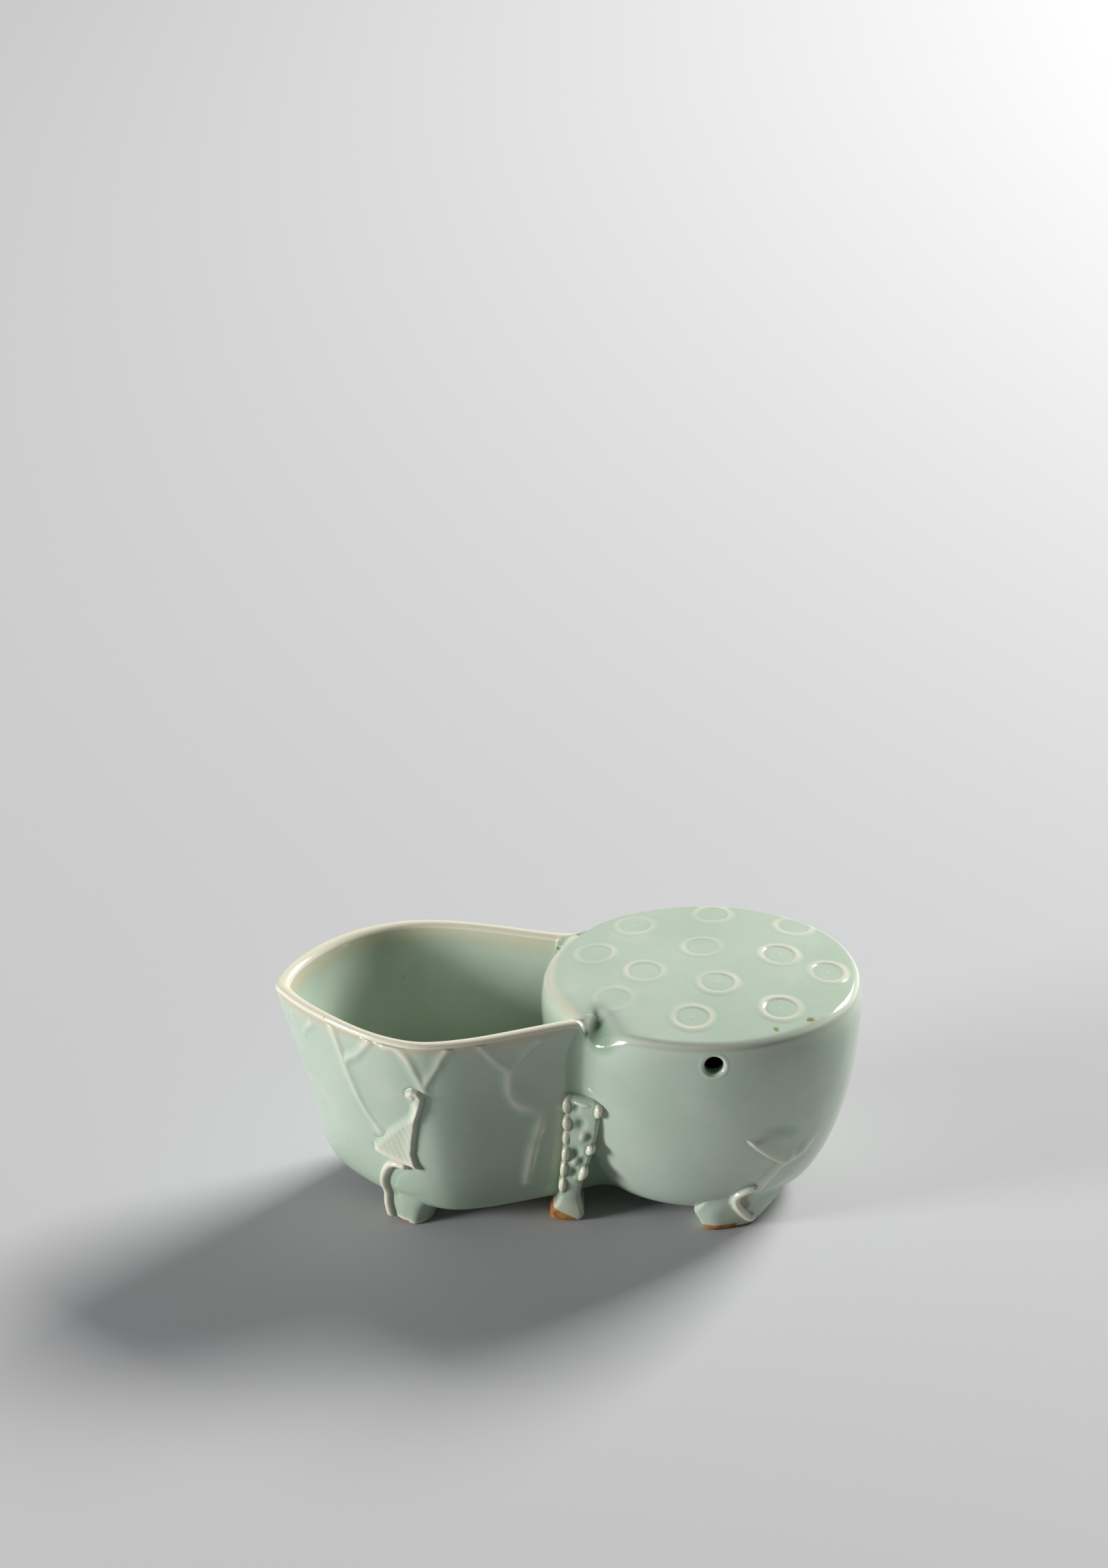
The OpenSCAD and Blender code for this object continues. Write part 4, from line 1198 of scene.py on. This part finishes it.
def leaf_flap():
    sharp = [flat_place(FRONT, t, height_at(f)) for t, f in FLAP_SHARP]
    gentle = laid(FRONT, FLAP_SOFT, 3)
    outline = sharp + gentle[1:-1]
    curl = laid(FRONT, ((0.862, 0.705), (0.885, 0.727), (0.912, 0.722), (0.924, 0.69), (0.906, 0.64),
                        (0.88, 0.585)))
    brow = laid(FRONT, ((0.578, 0.328), (0.66, 0.308), (0.74, 0.297), (0.8, 0.29), (0.845, 0.276)))
    right = laid(FRONT, ((0.9, 0.63), (0.868, 0.55), (0.834, 0.454), (0.81, 0.36), (0.822, 0.315)))

    def shape_at(p):
        d_sharp = from_line(p, sharp)[0]
        d_soft = from_line(p, gentle)[0]
        if not in_shape(p, outline):
            h = SKIN_LIFT - 0.1 * ease(min(d_sharp, d_soft), 0.9, 2.6)
            # painted shadow and pooled glaze along the outside of the flap's raised edge
            return h, 0.0, 0.7 * soft(d_sharp, 0.5), 0.35 * soft(d_sharp, 0.4)
        ridge_b = soft(from_line(p, brow)[0], 0.8)
        ridge_r = soft(from_line(p, right)[0], 1.1)
        gap, along, _ = from_line(p, curl)
        curl_up = soft(gap, 1.15) * (1 - 0.5 * along)
        cover = ease(d_sharp, 0.0, 0.55)
        lift = cover * ease(d_soft, 0.0, 1.6)
        comb = 0.5 + 0.5 * math.cos(2 * math.pi * (p.x + 0.16 * p.y) / 1.3)
        h = SKIN_LIFT + lift * (0.62 + 0.35 * ridge_b + 0.3 * ridge_r - 0.05 * comb * (1 - ridge_b)) \
            + cover * 0.6 * curl_up
        raised = 0.42 * ease(d_soft, 0.0, 1.6) + 0.4 * ridge_b + 0.2 * ridge_r + 0.45 * curl_up
        thin = cover * raised - 0.08 * comb
        return h, clamp(thin), 0.0, 0.35 * lift

    return press("leaf_flap", "leaf_lappet", FRONT, (0.5, 1.02), (height_at(0.2), height_at(0.82)), 0.16,
                 shape_at)


leaf_flap()

POD_FLAP_EDGE = ((-76.8, 0.458), (-74.5, 0.425), (-69.5, 0.366), (-65.0, 0.32), (-60.5, 0.28),
                 (-57.0, 0.268))
POD_RIDGE = ((-40.0, 0.4), (-44.5, 0.34), (-47.5, 0.312), (-51.0, 0.292), (-55.0, 0.278), (-58.5, 0.263),
             (-60.5, 0.24), (-61.0, 0.222), (-62.8, 0.195), (-64.5, 0.165), (-65.8, 0.12))
POD_HOLLOW = ((-75.0, 0.478), (-69.0, 0.49), (-61.0, 0.47), (-53.0, 0.425), (-47.0, 0.375))


def pod_flap():
    edge = laid("pod", POD_FLAP_EDGE)
    ridge = laid("pod", POD_RIDGE, 4)
    hollow = laid("pod", POD_HOLLOW)
    bound = POD_FLAP_EDGE + POD_RIDGE[5::-1] + POD_HOLLOW[::-1]
    shape = [flat_place("pod", t, height_at(f)) for t, f in bound]

    def shape_at(p):
        d_edge = from_line(p, edge)[0]
        d_ridge, along, hand = from_line(p, ridge)
        d_hollow, across, _ = from_line(p, hollow)
        spine = soft(d_ridge, 0.6 if hand > 0 else 1.4) * ease(along, 0.0, 0.25)
        h, thin, pool, tan = SKIN_LIFT, 0.0, 0.0, 0.0
        away = min(d_edge, d_ridge)
        if in_shape(p, shape):
            rise = soft(d_edge, 2.6)
            h += 0.95 * rise * ease(d_edge, 0.0, 0.5) * ease(d_hollow, 0, 2.2)
            thin = 0.35 * rise + 0.35 * soft(d_edge, 0.5)
            tan = 0.4 * rise
            away = 0.0
        else:
            # painted shadow and pooled glaze just outside the flap's edge
            pool = 0.4 * soft(d_edge, 0.6)
        # painted shade in the hollow above the flap, where the wall itself is not dented
        pool = max(pool, 0.6 * soft(d_hollow, 2.1) * ease(across, 0.0, 0.45) * ease(1 - across, 0.0, 0.45))
        away = min(away, d_hollow)
        h = max(h, SKIN_LIFT + 0.62 * spine)
        thin = max(thin, 0.62 * spine)
        pool *= 1 - spine
        h -= 0.1 * ease(away, 1.0, 2.9)
        return h, clamp(thin), pool, tan

    return press("pod_flap", "pod_lappet", "pod", (-86, -32), (height_at(0.06), height_at(0.58)), 0.2,
                 shape_at)


pod_flap()


# Leaf feet: a curled leaf edge runs down the wall and out into a small worn foot

def root_back(clay, back_place, shares):
    """Carries the open rim of a sheet back into the wall behind it, and closes it there."""
    rim = [e for e in clay.bm.edges if e.is_boundary]
    for share in shares:
        made = bmesh.ops.extrude_edge_only(clay.bm, edges=rim)["geom"]
        rim = [e for e in made if isinstance(e, bmesh.types.BMEdge) and e.is_boundary]
        fresh = {v for v in made if isinstance(v, bmesh.types.BMVert)}
        for v in fresh:
            front = next(e.other_vert(v) for e in v.link_edges if e.other_vert(v) in back_place
                         and e.other_vert(v) not in fresh)
            v.co = front.co.lerp(back_place[front], share)
            back_place[v] = back_place[front]
    bmesh.ops.holes_fill(clay.bm, edges=rim, sides=0)


def foot(name, node, chart, rows, columns, lines, worn):
    """rows: (height, height its shape is taken at, left, right, lifts, depth of its root).
    worn: (share across where the bare patch starts, where it ends, its height)."""
    clay = Clay()
    bmesh.ops.create_grid(clay.bm, x_segments=columns[0], y_segments=columns[1], size=0.5)
    low, high, shapes, lefts, rights, lifts, roots = (list(c) for c in zip(*(
        (r[0][0], r[0][1]) + r[1:] if isinstance(r[0], tuple) else (r[0], r[0]) + r[1:] for r in rows)))
    back_place = {}
    for v in clay.bm.verts:
        u, w = v.co.x + 0.5, 0.5 - v.co.y
        z = max(0.0, mix(through(low, w), through(high, w), ease(u, 0.0, 0.8)))
        shape_z = through(shapes, w)
        t0, t1 = through(lefts, w), through(rights, w)
        t = mix(t0, t1, u)
        h = through([through(row, u) for row in lifts], w)
        span = (flat_place(chart, t1, shape_z) - flat_place(chart, t0, shape_z)).length
        turning = 0.7 * ease(HEEL_Z + 1.5 - z, 0.0, 3.0)
        for gap in (u * span, (1 - u) * span):
            h -= turning * (1 - math.sqrt(1 - (1 - clamp(gap / 0.8)) ** 2))
        wall = wall_paint(chart, t, z)
        thin, pool, tan = 0.18 * ease(HEEL_Z - z, 0.0, 3.0), wall["pool"], 0.0
        p = Vector((flat_place(chart, t, shape_z).x, z))
        # a sunken line's pooled-glaze and tan paint is pooled glaze and painted shade in its groove
        for line, wide, rise, l_thin, l_pool_and_shade, l_tan in lines:
            gap = from_line(p, line)[0]
            here = beaded(gap, wide) if rise > 0.5 else soft(gap, wide)
            h += rise * here
            thin = max(thin, l_thin * here)
            pool = max(pool * (1 - here * (l_thin > 0)), l_pool_and_shade * here)
            tan = max(tan, l_tan * here)
        start, stop, top = worn
        patch = ease(u, start - 0.08, start) * (1 - ease(u, stop, stop + 0.1)) * (1 - ease(z, top, top + 0.6))
        bare = max(0.95 * patch, 0.62 * (1 - ease(z, 0.1, 0.6)))
        clay.place(v, wall_point(chart, t, z, h, shape_z), clamp(thin), clamp(pool), clamp(bare),
                   clamp(tan))
        back_place[v] = wall_point(chart, t, z, -through(roots, w), shape_z)
    root_back(clay, back_place, (0.3, 1.0))
    return clay.finish(name, FOOT_GLAZE, (node,))


def foot_line(chart, points, wide, rise, thin, pool=0.0, tan=0.0):
    line = []
    for t, f in points:
        z = height_at(f)
        line.append(Vector((flat_place(chart, t, max(z, HEEL_Z)).x, z)))
    return smooth_line(line, 5), wide, rise, thin, pool, tan


foot("foot_left", "leaf_foot_left", FRONT, (
    (14.8, 14.8, 0.64, 0.80, (-0.12, -0.08, -0.06, -0.06, -0.1), 1.5),
    (13.4, 13.4, 0.605, 0.84, (-0.1, 0.02, 0.03, 0.02, -0.1), 1.5),
    (11.6, 11.6, 0.578, 0.88, (-0.1, 0.03, 0.05, 0.02, -0.1), 1.5),
    (9.6, 9.6, 0.553, 0.92, (-0.1, 0.05, 0.1, 0.02, -0.1), 2.0),
    (7.6, 7.6, 0.54, 0.92, (-0.1, 0.1, 0.12, 0.0, -0.14), 3.0),
    (HEEL_Z, HEEL_Z, 0.537, 0.885, (0.1, 0.2, 0.12, -0.15, -0.9), 4.5),
    (BASE_Z, HEEL_Z, 0.545, 0.845, (0.2, 0.25, 0.1, -0.7, -3.3), 5.5),
    ((2.0, 1.4), HEEL_Z, 0.557, 0.82, (0.2, 0.2, 0.1, -0.5, -3.3), 5.5),
    ((1.3, 0.4), HEEL_Z, 0.566, 0.808, (0.1, 0.1, 0.05, -0.4, -3.1), 5.2),
    ((0.9, 0.0), HEEL_Z, 0.575, 0.8, (-0.5, -0.5, -0.35, -0.7, -3.2), 5.0),
), (64, 84), (
    foot_line(FRONT, ((0.75, 0.274), (0.7, 0.272), (0.655, 0.25), (0.61, 0.19), (0.583, 0.134),
                      (0.57, 0.08), (0.573, 0.03), (0.59, -0.025), (0.603, -0.06)), 0.8, 1.15, 1.0),
    # the hollow beside the curl and the small pit below it are painted with shade and pooled glaze
    foot_line(FRONT, ((0.725, 0.24), (0.69, 0.222), (0.655, 0.175), (0.64, 0.14)), 0.55, -0.3, 0.0,
              0.9, 0.6),
    foot_line(FRONT, ((0.625, 0.1), (0.625, 0.06)), 0.5, -0.2, 0.0, 0.8, 0.7),
    foot_line(FRONT, ((0.64, -0.058), (0.72, -0.068), (0.8, -0.078)), 0.5, 0.12, 0.75),
), (0.3, 0.55, 0.5))

foot("foot_right", "leaf_foot_right", "pod", (
    (13.8, 13.8, -62, -38, (-0.12, -0.08, -0.06, -0.06, -0.08, -0.12), 1.5),
    (12.2, 12.2, -68, -36, (-0.1, 0.02, 0.03, 0.04, 0.02, -0.1), 1.5),
    (10.4, 10.4, -75, -37, (-0.1, 0.02, 0.05, 0.08, 0.05, -0.1), 2.0),
    (8.4, 8.4, -84, -40, (-0.1, 0.05, 0.12, 0.2, 0.1, -0.1), 3.0),
    (HEEL_Z + 0.6, HEEL_Z + 0.6, -91, -46, (-0.12, 0.15, 0.25, 0.35, 0.2, -0.1), 4.5),
    (4.4, HEEL_Z + 0.2, -95, -51, (-0.4, 0.25, 0.35, 0.4, 0.3, -0.1), 5.2),
    (BASE_Z, HEEL_Z, -97, -55, (-0.7, 0.3, 0.4, 0.4, 0.4, -0.1), 5.5),
    (1.6, HEEL_Z, -94.5, -59, (-0.5, 0.35, 0.4, 0.3, 0.3, -0.5), 5.5),
    (0.5, HEEL_Z, -92.5, -62, (-0.1, 0.4, 0.3, 0.2, 0.1, -0.8), 5.2),
    (0.0, HEEL_Z, -91.5, -63.5, (-0.3, 0.15, 0.0, -0.2, -0.3, -1.2), 5.0),
), (72, 76), (
    foot_line("pod", ((-70.0, 0.145), (-73.5, 0.135), (-76.8, 0.105), (-77.0, 0.06), (-74.5, 0.02),
                      (-71.0, -0.02), (-69.0, -0.035)), 0.85, 1.15, 1.0),
    # the hollow inside the curl is painted with shade and pooled glaze
    foot_line("pod", ((-71.6, 0.1), (-72.6, 0.07), (-71.2, 0.035)), 0.6, -0.45, 0.0, 0.9, 1.0),
    foot_line("pod", ((-92.0, -0.075), (-86.0, -0.07), (-80.0, -0.072)), 0.8, 0.1, 0.5),
), (0.04, 0.5, 0.75))

foot("foot_back_left", "leaf_foot_back_left", BACK, (
    (13.6, 13.6, 0.82, 0.68, (-0.12, -0.08, -0.08, -0.12), 1.5),
    (11.6, 11.6, 0.88, 0.64, (-0.1, 0.03, 0.05, -0.1), 1.5),
    (9.4, 9.4, 0.93, 0.62, (-0.1, 0.05, 0.12, -0.05), 2.0),
    (HEEL_Z, HEEL_Z, 0.94, 0.61, (-0.1, 0.2, 0.35, 0.1), 4.0),
    (BASE_Z, HEEL_Z, 0.91, 0.615, (-0.8, 0.2, 0.35, 0.2), 5.0),
    (1.6, HEEL_Z, 0.885, 0.63, (-1.2, 0.0, 0.2, 0.2), 5.0),
    (0.5, HEEL_Z, 0.875, 0.645, (-1.4, -0.1, 0.0, 0.0), 4.8),
    (0.0, HEEL_Z, 0.87, 0.65, (-1.9, -0.5, -0.4, -0.5), 4.6),
), (54, 62), (
    foot_line(BACK, ((0.75, 0.262), (0.7, 0.24), (0.665, 0.17), (0.65, 0.1), (0.652, 0.03),
                     (0.668, -0.045)), 0.8, 1.0, 1.0),
    # the hollow inside the curl is painted with shade and pooled glaze
    foot_line(BACK, ((0.735, 0.22), (0.7, 0.17)), 0.55, -0.3, 0.0, 0.8, 0.5),
), (0.45, 0.7, 0.5))

foot("foot_back_right", "leaf_foot_back_right", "pod", (
    (14.0, 14.0, 50, 70, (-0.12, -0.08, -0.08, -0.12), 1.5),
    (12.0, 12.0, 47, 74, (-0.1, 0.03, 0.05, -0.1), 1.5),
    (9.4, 9.4, 45, 82, (-0.1, 0.06, 0.15, -0.1), 2.5),
    (HEEL_Z + 0.6, HEEL_Z + 0.6, 48, 90, (-0.1, 0.3, 0.35, -0.1), 4.5),
    (BASE_Z, HEEL_Z, 55, 93, (-0.1, 0.4, 0.4, -0.5), 5.5),
    (1.6, HEEL_Z, 58, 91, (-0.5, 0.2, 0.3, -0.4), 5.5),
    (0.5, HEEL_Z, 60, 89.5, (-0.8, 0.0, 0.2, -0.4), 5.2),
    (0.0, HEEL_Z, 61, 88.5, (-1.3, -0.4, -0.2, -0.9), 5.0),
), (60, 60), (
    foot_line("pod", ((60.0, 0.25), (65.0, 0.235), (69.5, 0.18), (72.0, 0.12), (74.0, 0.05), (74.0, -0.03)),
              0.8, 0.95, 1.0),
    # the hollow inside the curl is painted with shade and pooled glaze
    foot_line("pod", ((64.0, 0.19), (67.0, 0.14)), 0.55, -0.3, 0.0, 0.8, 0.5),
), (0.5, 0.85, 0.6))


# The thorny stalk in the front waist

# height, left edge, its forward place, right edge, its forward place, root
STALK_ROWS = (
    (STALK_TOP, -3.2, -0.4, 2.0, 1.7, 6.0),
    (STALK_TOP - 0.35, -3.6, 0.2, 2.4, 2.5, 7.0),
    (STALK_TOP - 1.2, -3.75, 0.35, 2.5, 2.8, 8.0),
    (0.86 * STALK_TOP, -3.75, 0.3, 2.3, 2.5, 8.5),
    (0.75 * STALK_TOP, -3.75, 0.25, 2.0, 2.0, 9.0),
    (0.62 * STALK_TOP, -3.8, 0.2, 1.4, 1.4, 9.0),
    (0.5 * STALK_TOP, -3.95, 0.1, 0.8, 0.9, 9.0),
    (0.4 * STALK_TOP, -4.1, 0.0, 0.3, 0.6, 9.0),
    (0.3 * STALK_TOP, -4.3, -0.15, -0.4, 0.2, 9.0),
    (0.22 * STALK_TOP, -4.45, -0.3, -0.7, 0.0, 9.0),
    (0.15 * STALK_TOP, -5.0, -0.7, -0.5, -0.3, 8.0),
    (0.09 * STALK_TOP, -5.9, -1.1, -0.2, -0.5, 6.5),
    (1.2, -6.2, -1.4, -0.1, -0.7, 5.5),
    (0.4, -6.1, -1.6, -0.4, -0.9, 5.0),
    (0.0, -5.8, -2.1, -0.8, -1.4, 4.4),
)
# thorns like long pearls: share of the width, height, half width, half length, lift
THORNS = ((0.07, 25.1, 0.7, 1.7, 0.85), (0.08, 21.5, 0.75, 1.6, 0.95), (0.05, 18.2, 0.6, 1.5, 0.6),
          (0.08, 15.0, 0.7, 1.6, 0.9), (0.07, 11.7, 0.6, 1.8, 0.8), (0.1, 8.3, 0.6, 1.7, 0.8),
          (0.94, 24.9, 0.7, 1.5, 0.95), (0.9, 16.2, 0.8, 1.1, 0.85), (0.84, 11.0, 0.8, 1.6, 0.9),
          (0.6, 19.0, 0.8, 1.0, 0.3), (0.45, 13.6, 0.75, 0.9, 0.25), (0.5, 25.9, 1.6, 0.5, 0.3))
# hollows in the strap: share of the width, height, radius, depth
PITS = ((0.47, 21.6, 0.95, 0.7), (0.4, 15.4, 0.95, 0.65), (0.46, 11.2, 0.8, 0.55), (0.32, 24.9, 0.7, 0.5),
        (0.78, 19.0, 0.9, 0.4), (0.68, 13.8, 0.75, 0.4))


def make_stalk():
    clay = Clay()
    bmesh.ops.create_grid(clay.bm, x_segments=52, y_segments=170, size=0.5)
    back_place = {}
    columns = list(zip(*STALK_ROWS))
    for v in clay.bm.verts:
        u, w = v.co.x + 0.5, 0.5 - v.co.y
        z, xl, yl, xr, yr, root = (through(c, w) for c in columns)
        z = max(0.0, z)
        left = Vector((NECK_X + xl, -NECK_WID / 2 - yl))
        right = Vector((NECK_X + xr, -NECK_WID / 2 - yr))
        across = right - left
        span = across.length
        across.normalize()
        ahead = Vector((across.y, -across.x))
        h, swell, thin, pool, tan = 0.3 * math.sin(math.pi * u), 0.0, 0.12, 0.25, 0.15
        for gap in (u * span, (1 - u) * span):
            h -= 0.9 * (1 - math.sqrt(1 - (1 - clamp(gap / 0.9)) ** 2))
        for place, tz, wide, tall, lift in THORNS:
            dx, dz = (u - place) * span, z - tz
            far = math.hypot(dx / wide, dz / tall)
            bump = beaded(far, 1.0)
            h += lift * bump
            if place < 0.2 or place > 0.8:
                swell += 0.5 * bump * (-1 if place < 0.5 else 1)
            thin = max(thin, 1.05 * bump ** 0.7 if lift > 0.5 else 0.6 * bump)
            pool = max(pool, 0.8 * soft(far - 1.25, 0.28) * min(1.0, 1.5 * lift))
            tan = max(tan, 0.5 * soft(far - 1.15, 0.22) * lift)
        for place, pz, size, deep in PITS:
            dx, dz = (u - place) * span, z - pz
            dent = soft(math.hypot(dx, dz / 1.3), size)
            h -= deep * dent
            pool = max(pool, dent)
            thin *= 1 - 0.7 * dent
        flat = left + across * (u * span + swell * ease(abs(u - 0.5), 0.2, 0.5)) + ahead * h
        slant = z + 0.5 * (u - 0.4) * span
        worn = 0.95 * (1 - ease(slant, 1.5, 2.4)) * (1 - ease(u, 0.72, 0.95))
        bare = max(worn, 0.6 * (1 - ease(z, 0.1, 0.7)))
        pale = 0.45 * ease(6.5 - z, 0.0, 3.0)
        clay.place(v, Vector((flat.x, flat.y, z)), clamp(max(thin, pale)), clamp(pool * (1 - pale)),
                   clamp(bare), tan)
        back_place[v] = Vector((NECK_X + mix(xl, xr, u) + 0.4, -NECK_WID / 2 - mix(yl, yr, u) + root, z))
    root_back(clay, back_place, (0.12, 0.35, 1.0))
    return clay.finish("thorn_stalk", FOOT_GLAZE, ("stalk",))


make_stalk()


# Slip worked with a wet finger into the two joints of the leaf's lip and the pod

def skin_of(pieces):
    bm = bmesh.new()
    for piece in pieces:
        bm.from_mesh(piece.data)
    bm.faces.ensure_lookup_table()
    return bm, BVHTree.FromBMesh(bm)


# grid pitch, how far a surface may lie from the weld's middle plane, where its rays start, its clay
WELD_STEP = 0.16
WELD_DEEPEST = 3.5
RAY_START = 15
WELD_THICKNESS = 0.2


def filled(heights, radius):
    """Heights on a grid of places, with every crease narrower than a fingertip filled."""
    tip = [(a, b) for a in range(-radius, radius + 1) for b in range(-radius, radius + 1)
           if a * a + b * b <= radius * radius]

    def near(table, k):
        return [table[m] for m in ((k[0] + a, k[1] + b) for a, b in tip) if m in table]

    raised = {k: max(near(heights, k)) for k in heights}
    return {k: min(near(raised, k)) for k in heights}


def make_weld(name, middle, inward, reach, fingertip, rounds):
    """A fine skin laid on cup and pod along inward, its creases filled and rubbed smooth."""
    below, tree = skin_of((cup, pod))
    kinds = [below.verts.layers.float[k] for k in PAINT]
    middle, inward = Vector(middle), Vector(inward).normalized()
    across = inward.cross(Vector((0, 0, 1))).normalized()
    up = across.cross(inward)
    clay = Clay()
    n = int(2 * reach / WELD_STEP)
    pitch = 2 * reach / n
    bmesh.ops.create_grid(clay.bm, x_segments=n, y_segments=n, size=reach)
    away, heights, spot, place = {}, {}, {}, {}
    for v in clay.bm.verts:
        away[v] = math.hypot(v.co.x, v.co.y) / reach
        start = middle + across * v.co.x + up * v.co.y
        place[v] = start
        hit, _, face, _ = tree.ray_cast((start - inward * RAY_START) * MM, inward)
        if hit is None or abs((hit / MM - start).dot(inward)) > WELD_DEEPEST:
            continue
        spot[v] = (round((v.co.x + reach) / pitch), round((v.co.y + reach) / pitch))
        heights[spot[v]] = -(hit / MM - start).dot(inward)
        near = [(1 / ((u.co - hit).length + 1e-5), u) for u in below.faces[face].verts]
        total = sum(w for w, _ in near)
        clay.place(v, start, *(sum(w * u[k] for w, u in near) / total for k in kinds))
    full = filled(heights, int(fingertip / WELD_STEP))
    for v, k in spot.items():
        v.co -= inward * mix(full[k], heights[k], ease(away[v], 0.6, 0.85))
    torn = [f for f in clay.bm.faces if any(v not in spot or away[v] > 1.0 for v in f.verts)
            or (max(e.calc_length() for e in f.edges) > 6 * WELD_STEP
                and max(away[v] for v in f.verts) > 0.75)]
    bmesh.ops.delete(clay.bm, geom=torn, context="FACES")
    bmesh.ops.delete(clay.bm, geom=[v for v in clay.bm.verts if not v.link_faces], context="VERTS")
    for part, times in ((0.9, 4), (0.65, rounds), (0.45, rounds)):
        rubbed = [v for v in clay.bm.verts if away[v] < part and not v.is_boundary]
        for _ in range(times):
            bmesh.ops.smooth_vert(clay.bm, verts=rubbed, factor=0.5, use_axis_x=True, use_axis_y=True,
                                  use_axis_z=True)
    for v in clay.bm.verts:
        height = max((place[v] - v.co).dot(inward), heights[spot[v]])
        v.co = place[v] - inward * (height + mix(0.02, -0.15, ease(away[v], 0.72, 0.97)))
    below.free()
    thicken(clay, -inward, WELD_THICKNESS)
    return clay.finish(name, GLAZE, worked=False)


make_weld("weld_front", (2.4, -15.8, 39.8), (-0.1, 0.78, -0.63), 4.6, 1.0, 12)
make_weld("weld_back", (0.4, 13.4, 41.6), (0.0, 0.1, -0.99), 2.6, 1.3, 24)


# Camera, light and floor

# the photograph's height and the row of the object's middle, in its pixels
PHOTO_H = 2296
OBJECT_ROW = 1430
FOCAL_PX = 6900.0
SENSOR_MM = 36
YAW = math.radians(3.0)
PITCH = math.radians(30.5) - math.atan((OBJECT_ROW - PHOTO_H / 2) / FOCAL_PX)
CAMERA_PLACE = Vector((-40.2, -714.8, 463.6))
look = Vector((math.sin(YAW) * math.cos(PITCH), math.cos(YAW) * math.cos(PITCH), -math.sin(PITCH)))
lens = bpy.data.cameras.new("camera")
lens.sensor_fit = "VERTICAL"
lens.sensor_height = SENSOR_MM
lens.sensor_width = SENSOR_MM
lens.lens = FOCAL_PX * SENSOR_MM / PHOTO_H
lens.clip_start = 0.01
camera = bpy.data.objects.new("camera", lens)
camera.location = CAMERA_PLACE * MM
camera.rotation_euler = look.to_track_quat("-Z", "Y").to_euler()
bpy.context.scene.collection.objects.link(camera)
bpy.context.scene.camera = camera


LAMP_AIM = Vector((0, 0, 20))
SKY_GREY = (0.92, 0.94, 0.96, 1)
SKY_STRENGTH = 0.08
FLOOR_GREY = (0.5, 0.5, 0.51, 1)
FLOOR_HALF = 3.0


def soft_light(name, place, size, power, warm):
    lamp = bpy.data.lights.new(name, "AREA")
    lamp.shape = "RECTANGLE"
    lamp.size, lamp.size_y = size[0] * MM, size[1] * MM
    lamp.energy = power
    lamp.color = warm
    thing = bpy.data.objects.new(name, lamp)
    thing.location = Vector(place) * MM
    thing.rotation_euler = (LAMP_AIM - Vector(place)).to_track_quat("-Z", "Y").to_euler()
    bpy.context.scene.collection.objects.link(thing)


soft_light("key_right_back", (900, 750, 765), (560, 440), 33.0, (1.0, 0.995, 0.98))
soft_light("side_left", (-870, -235, 205), (240, 240), 8.2, (0.98, 0.99, 1.0))

world = bpy.data.worlds.new("studio")
world.use_nodes = True
sky = world.node_tree.nodes["Background"]
sky.inputs["Color"].default_value = SKY_GREY
sky.inputs["Strength"].default_value = SKY_STRENGTH
bpy.context.scene.world = world

floor_mat = Nodes("pale_floor")
floor_out = floor_mat.add("ShaderNodeOutputMaterial")
floor_bsdf = floor_mat.add("ShaderNodeBsdfPrincipled")
floor_bsdf.inputs["Base Color"].default_value = FLOOR_GREY
floor_bsdf.inputs["Roughness"].default_value = 1.0
floor_bsdf.inputs["Specular IOR Level"].default_value = 0.1
floor_mat.link(floor_bsdf.outputs["BSDF"], floor_out.inputs["Surface"])

table = bmesh.new()
bmesh.ops.create_grid(table, x_segments=1, y_segments=1, size=FLOOR_HALF)
table_mesh = bpy.data.meshes.new("floor")
table.to_mesh(table_mesh)
table.free()
floor = bpy.data.objects.new("floor", table_mesh)
bpy.context.scene.collection.objects.link(floor)
table_mesh.materials.append(floor_mat.material)

bpy.context.scene.view_settings.view_transform = "Standard"
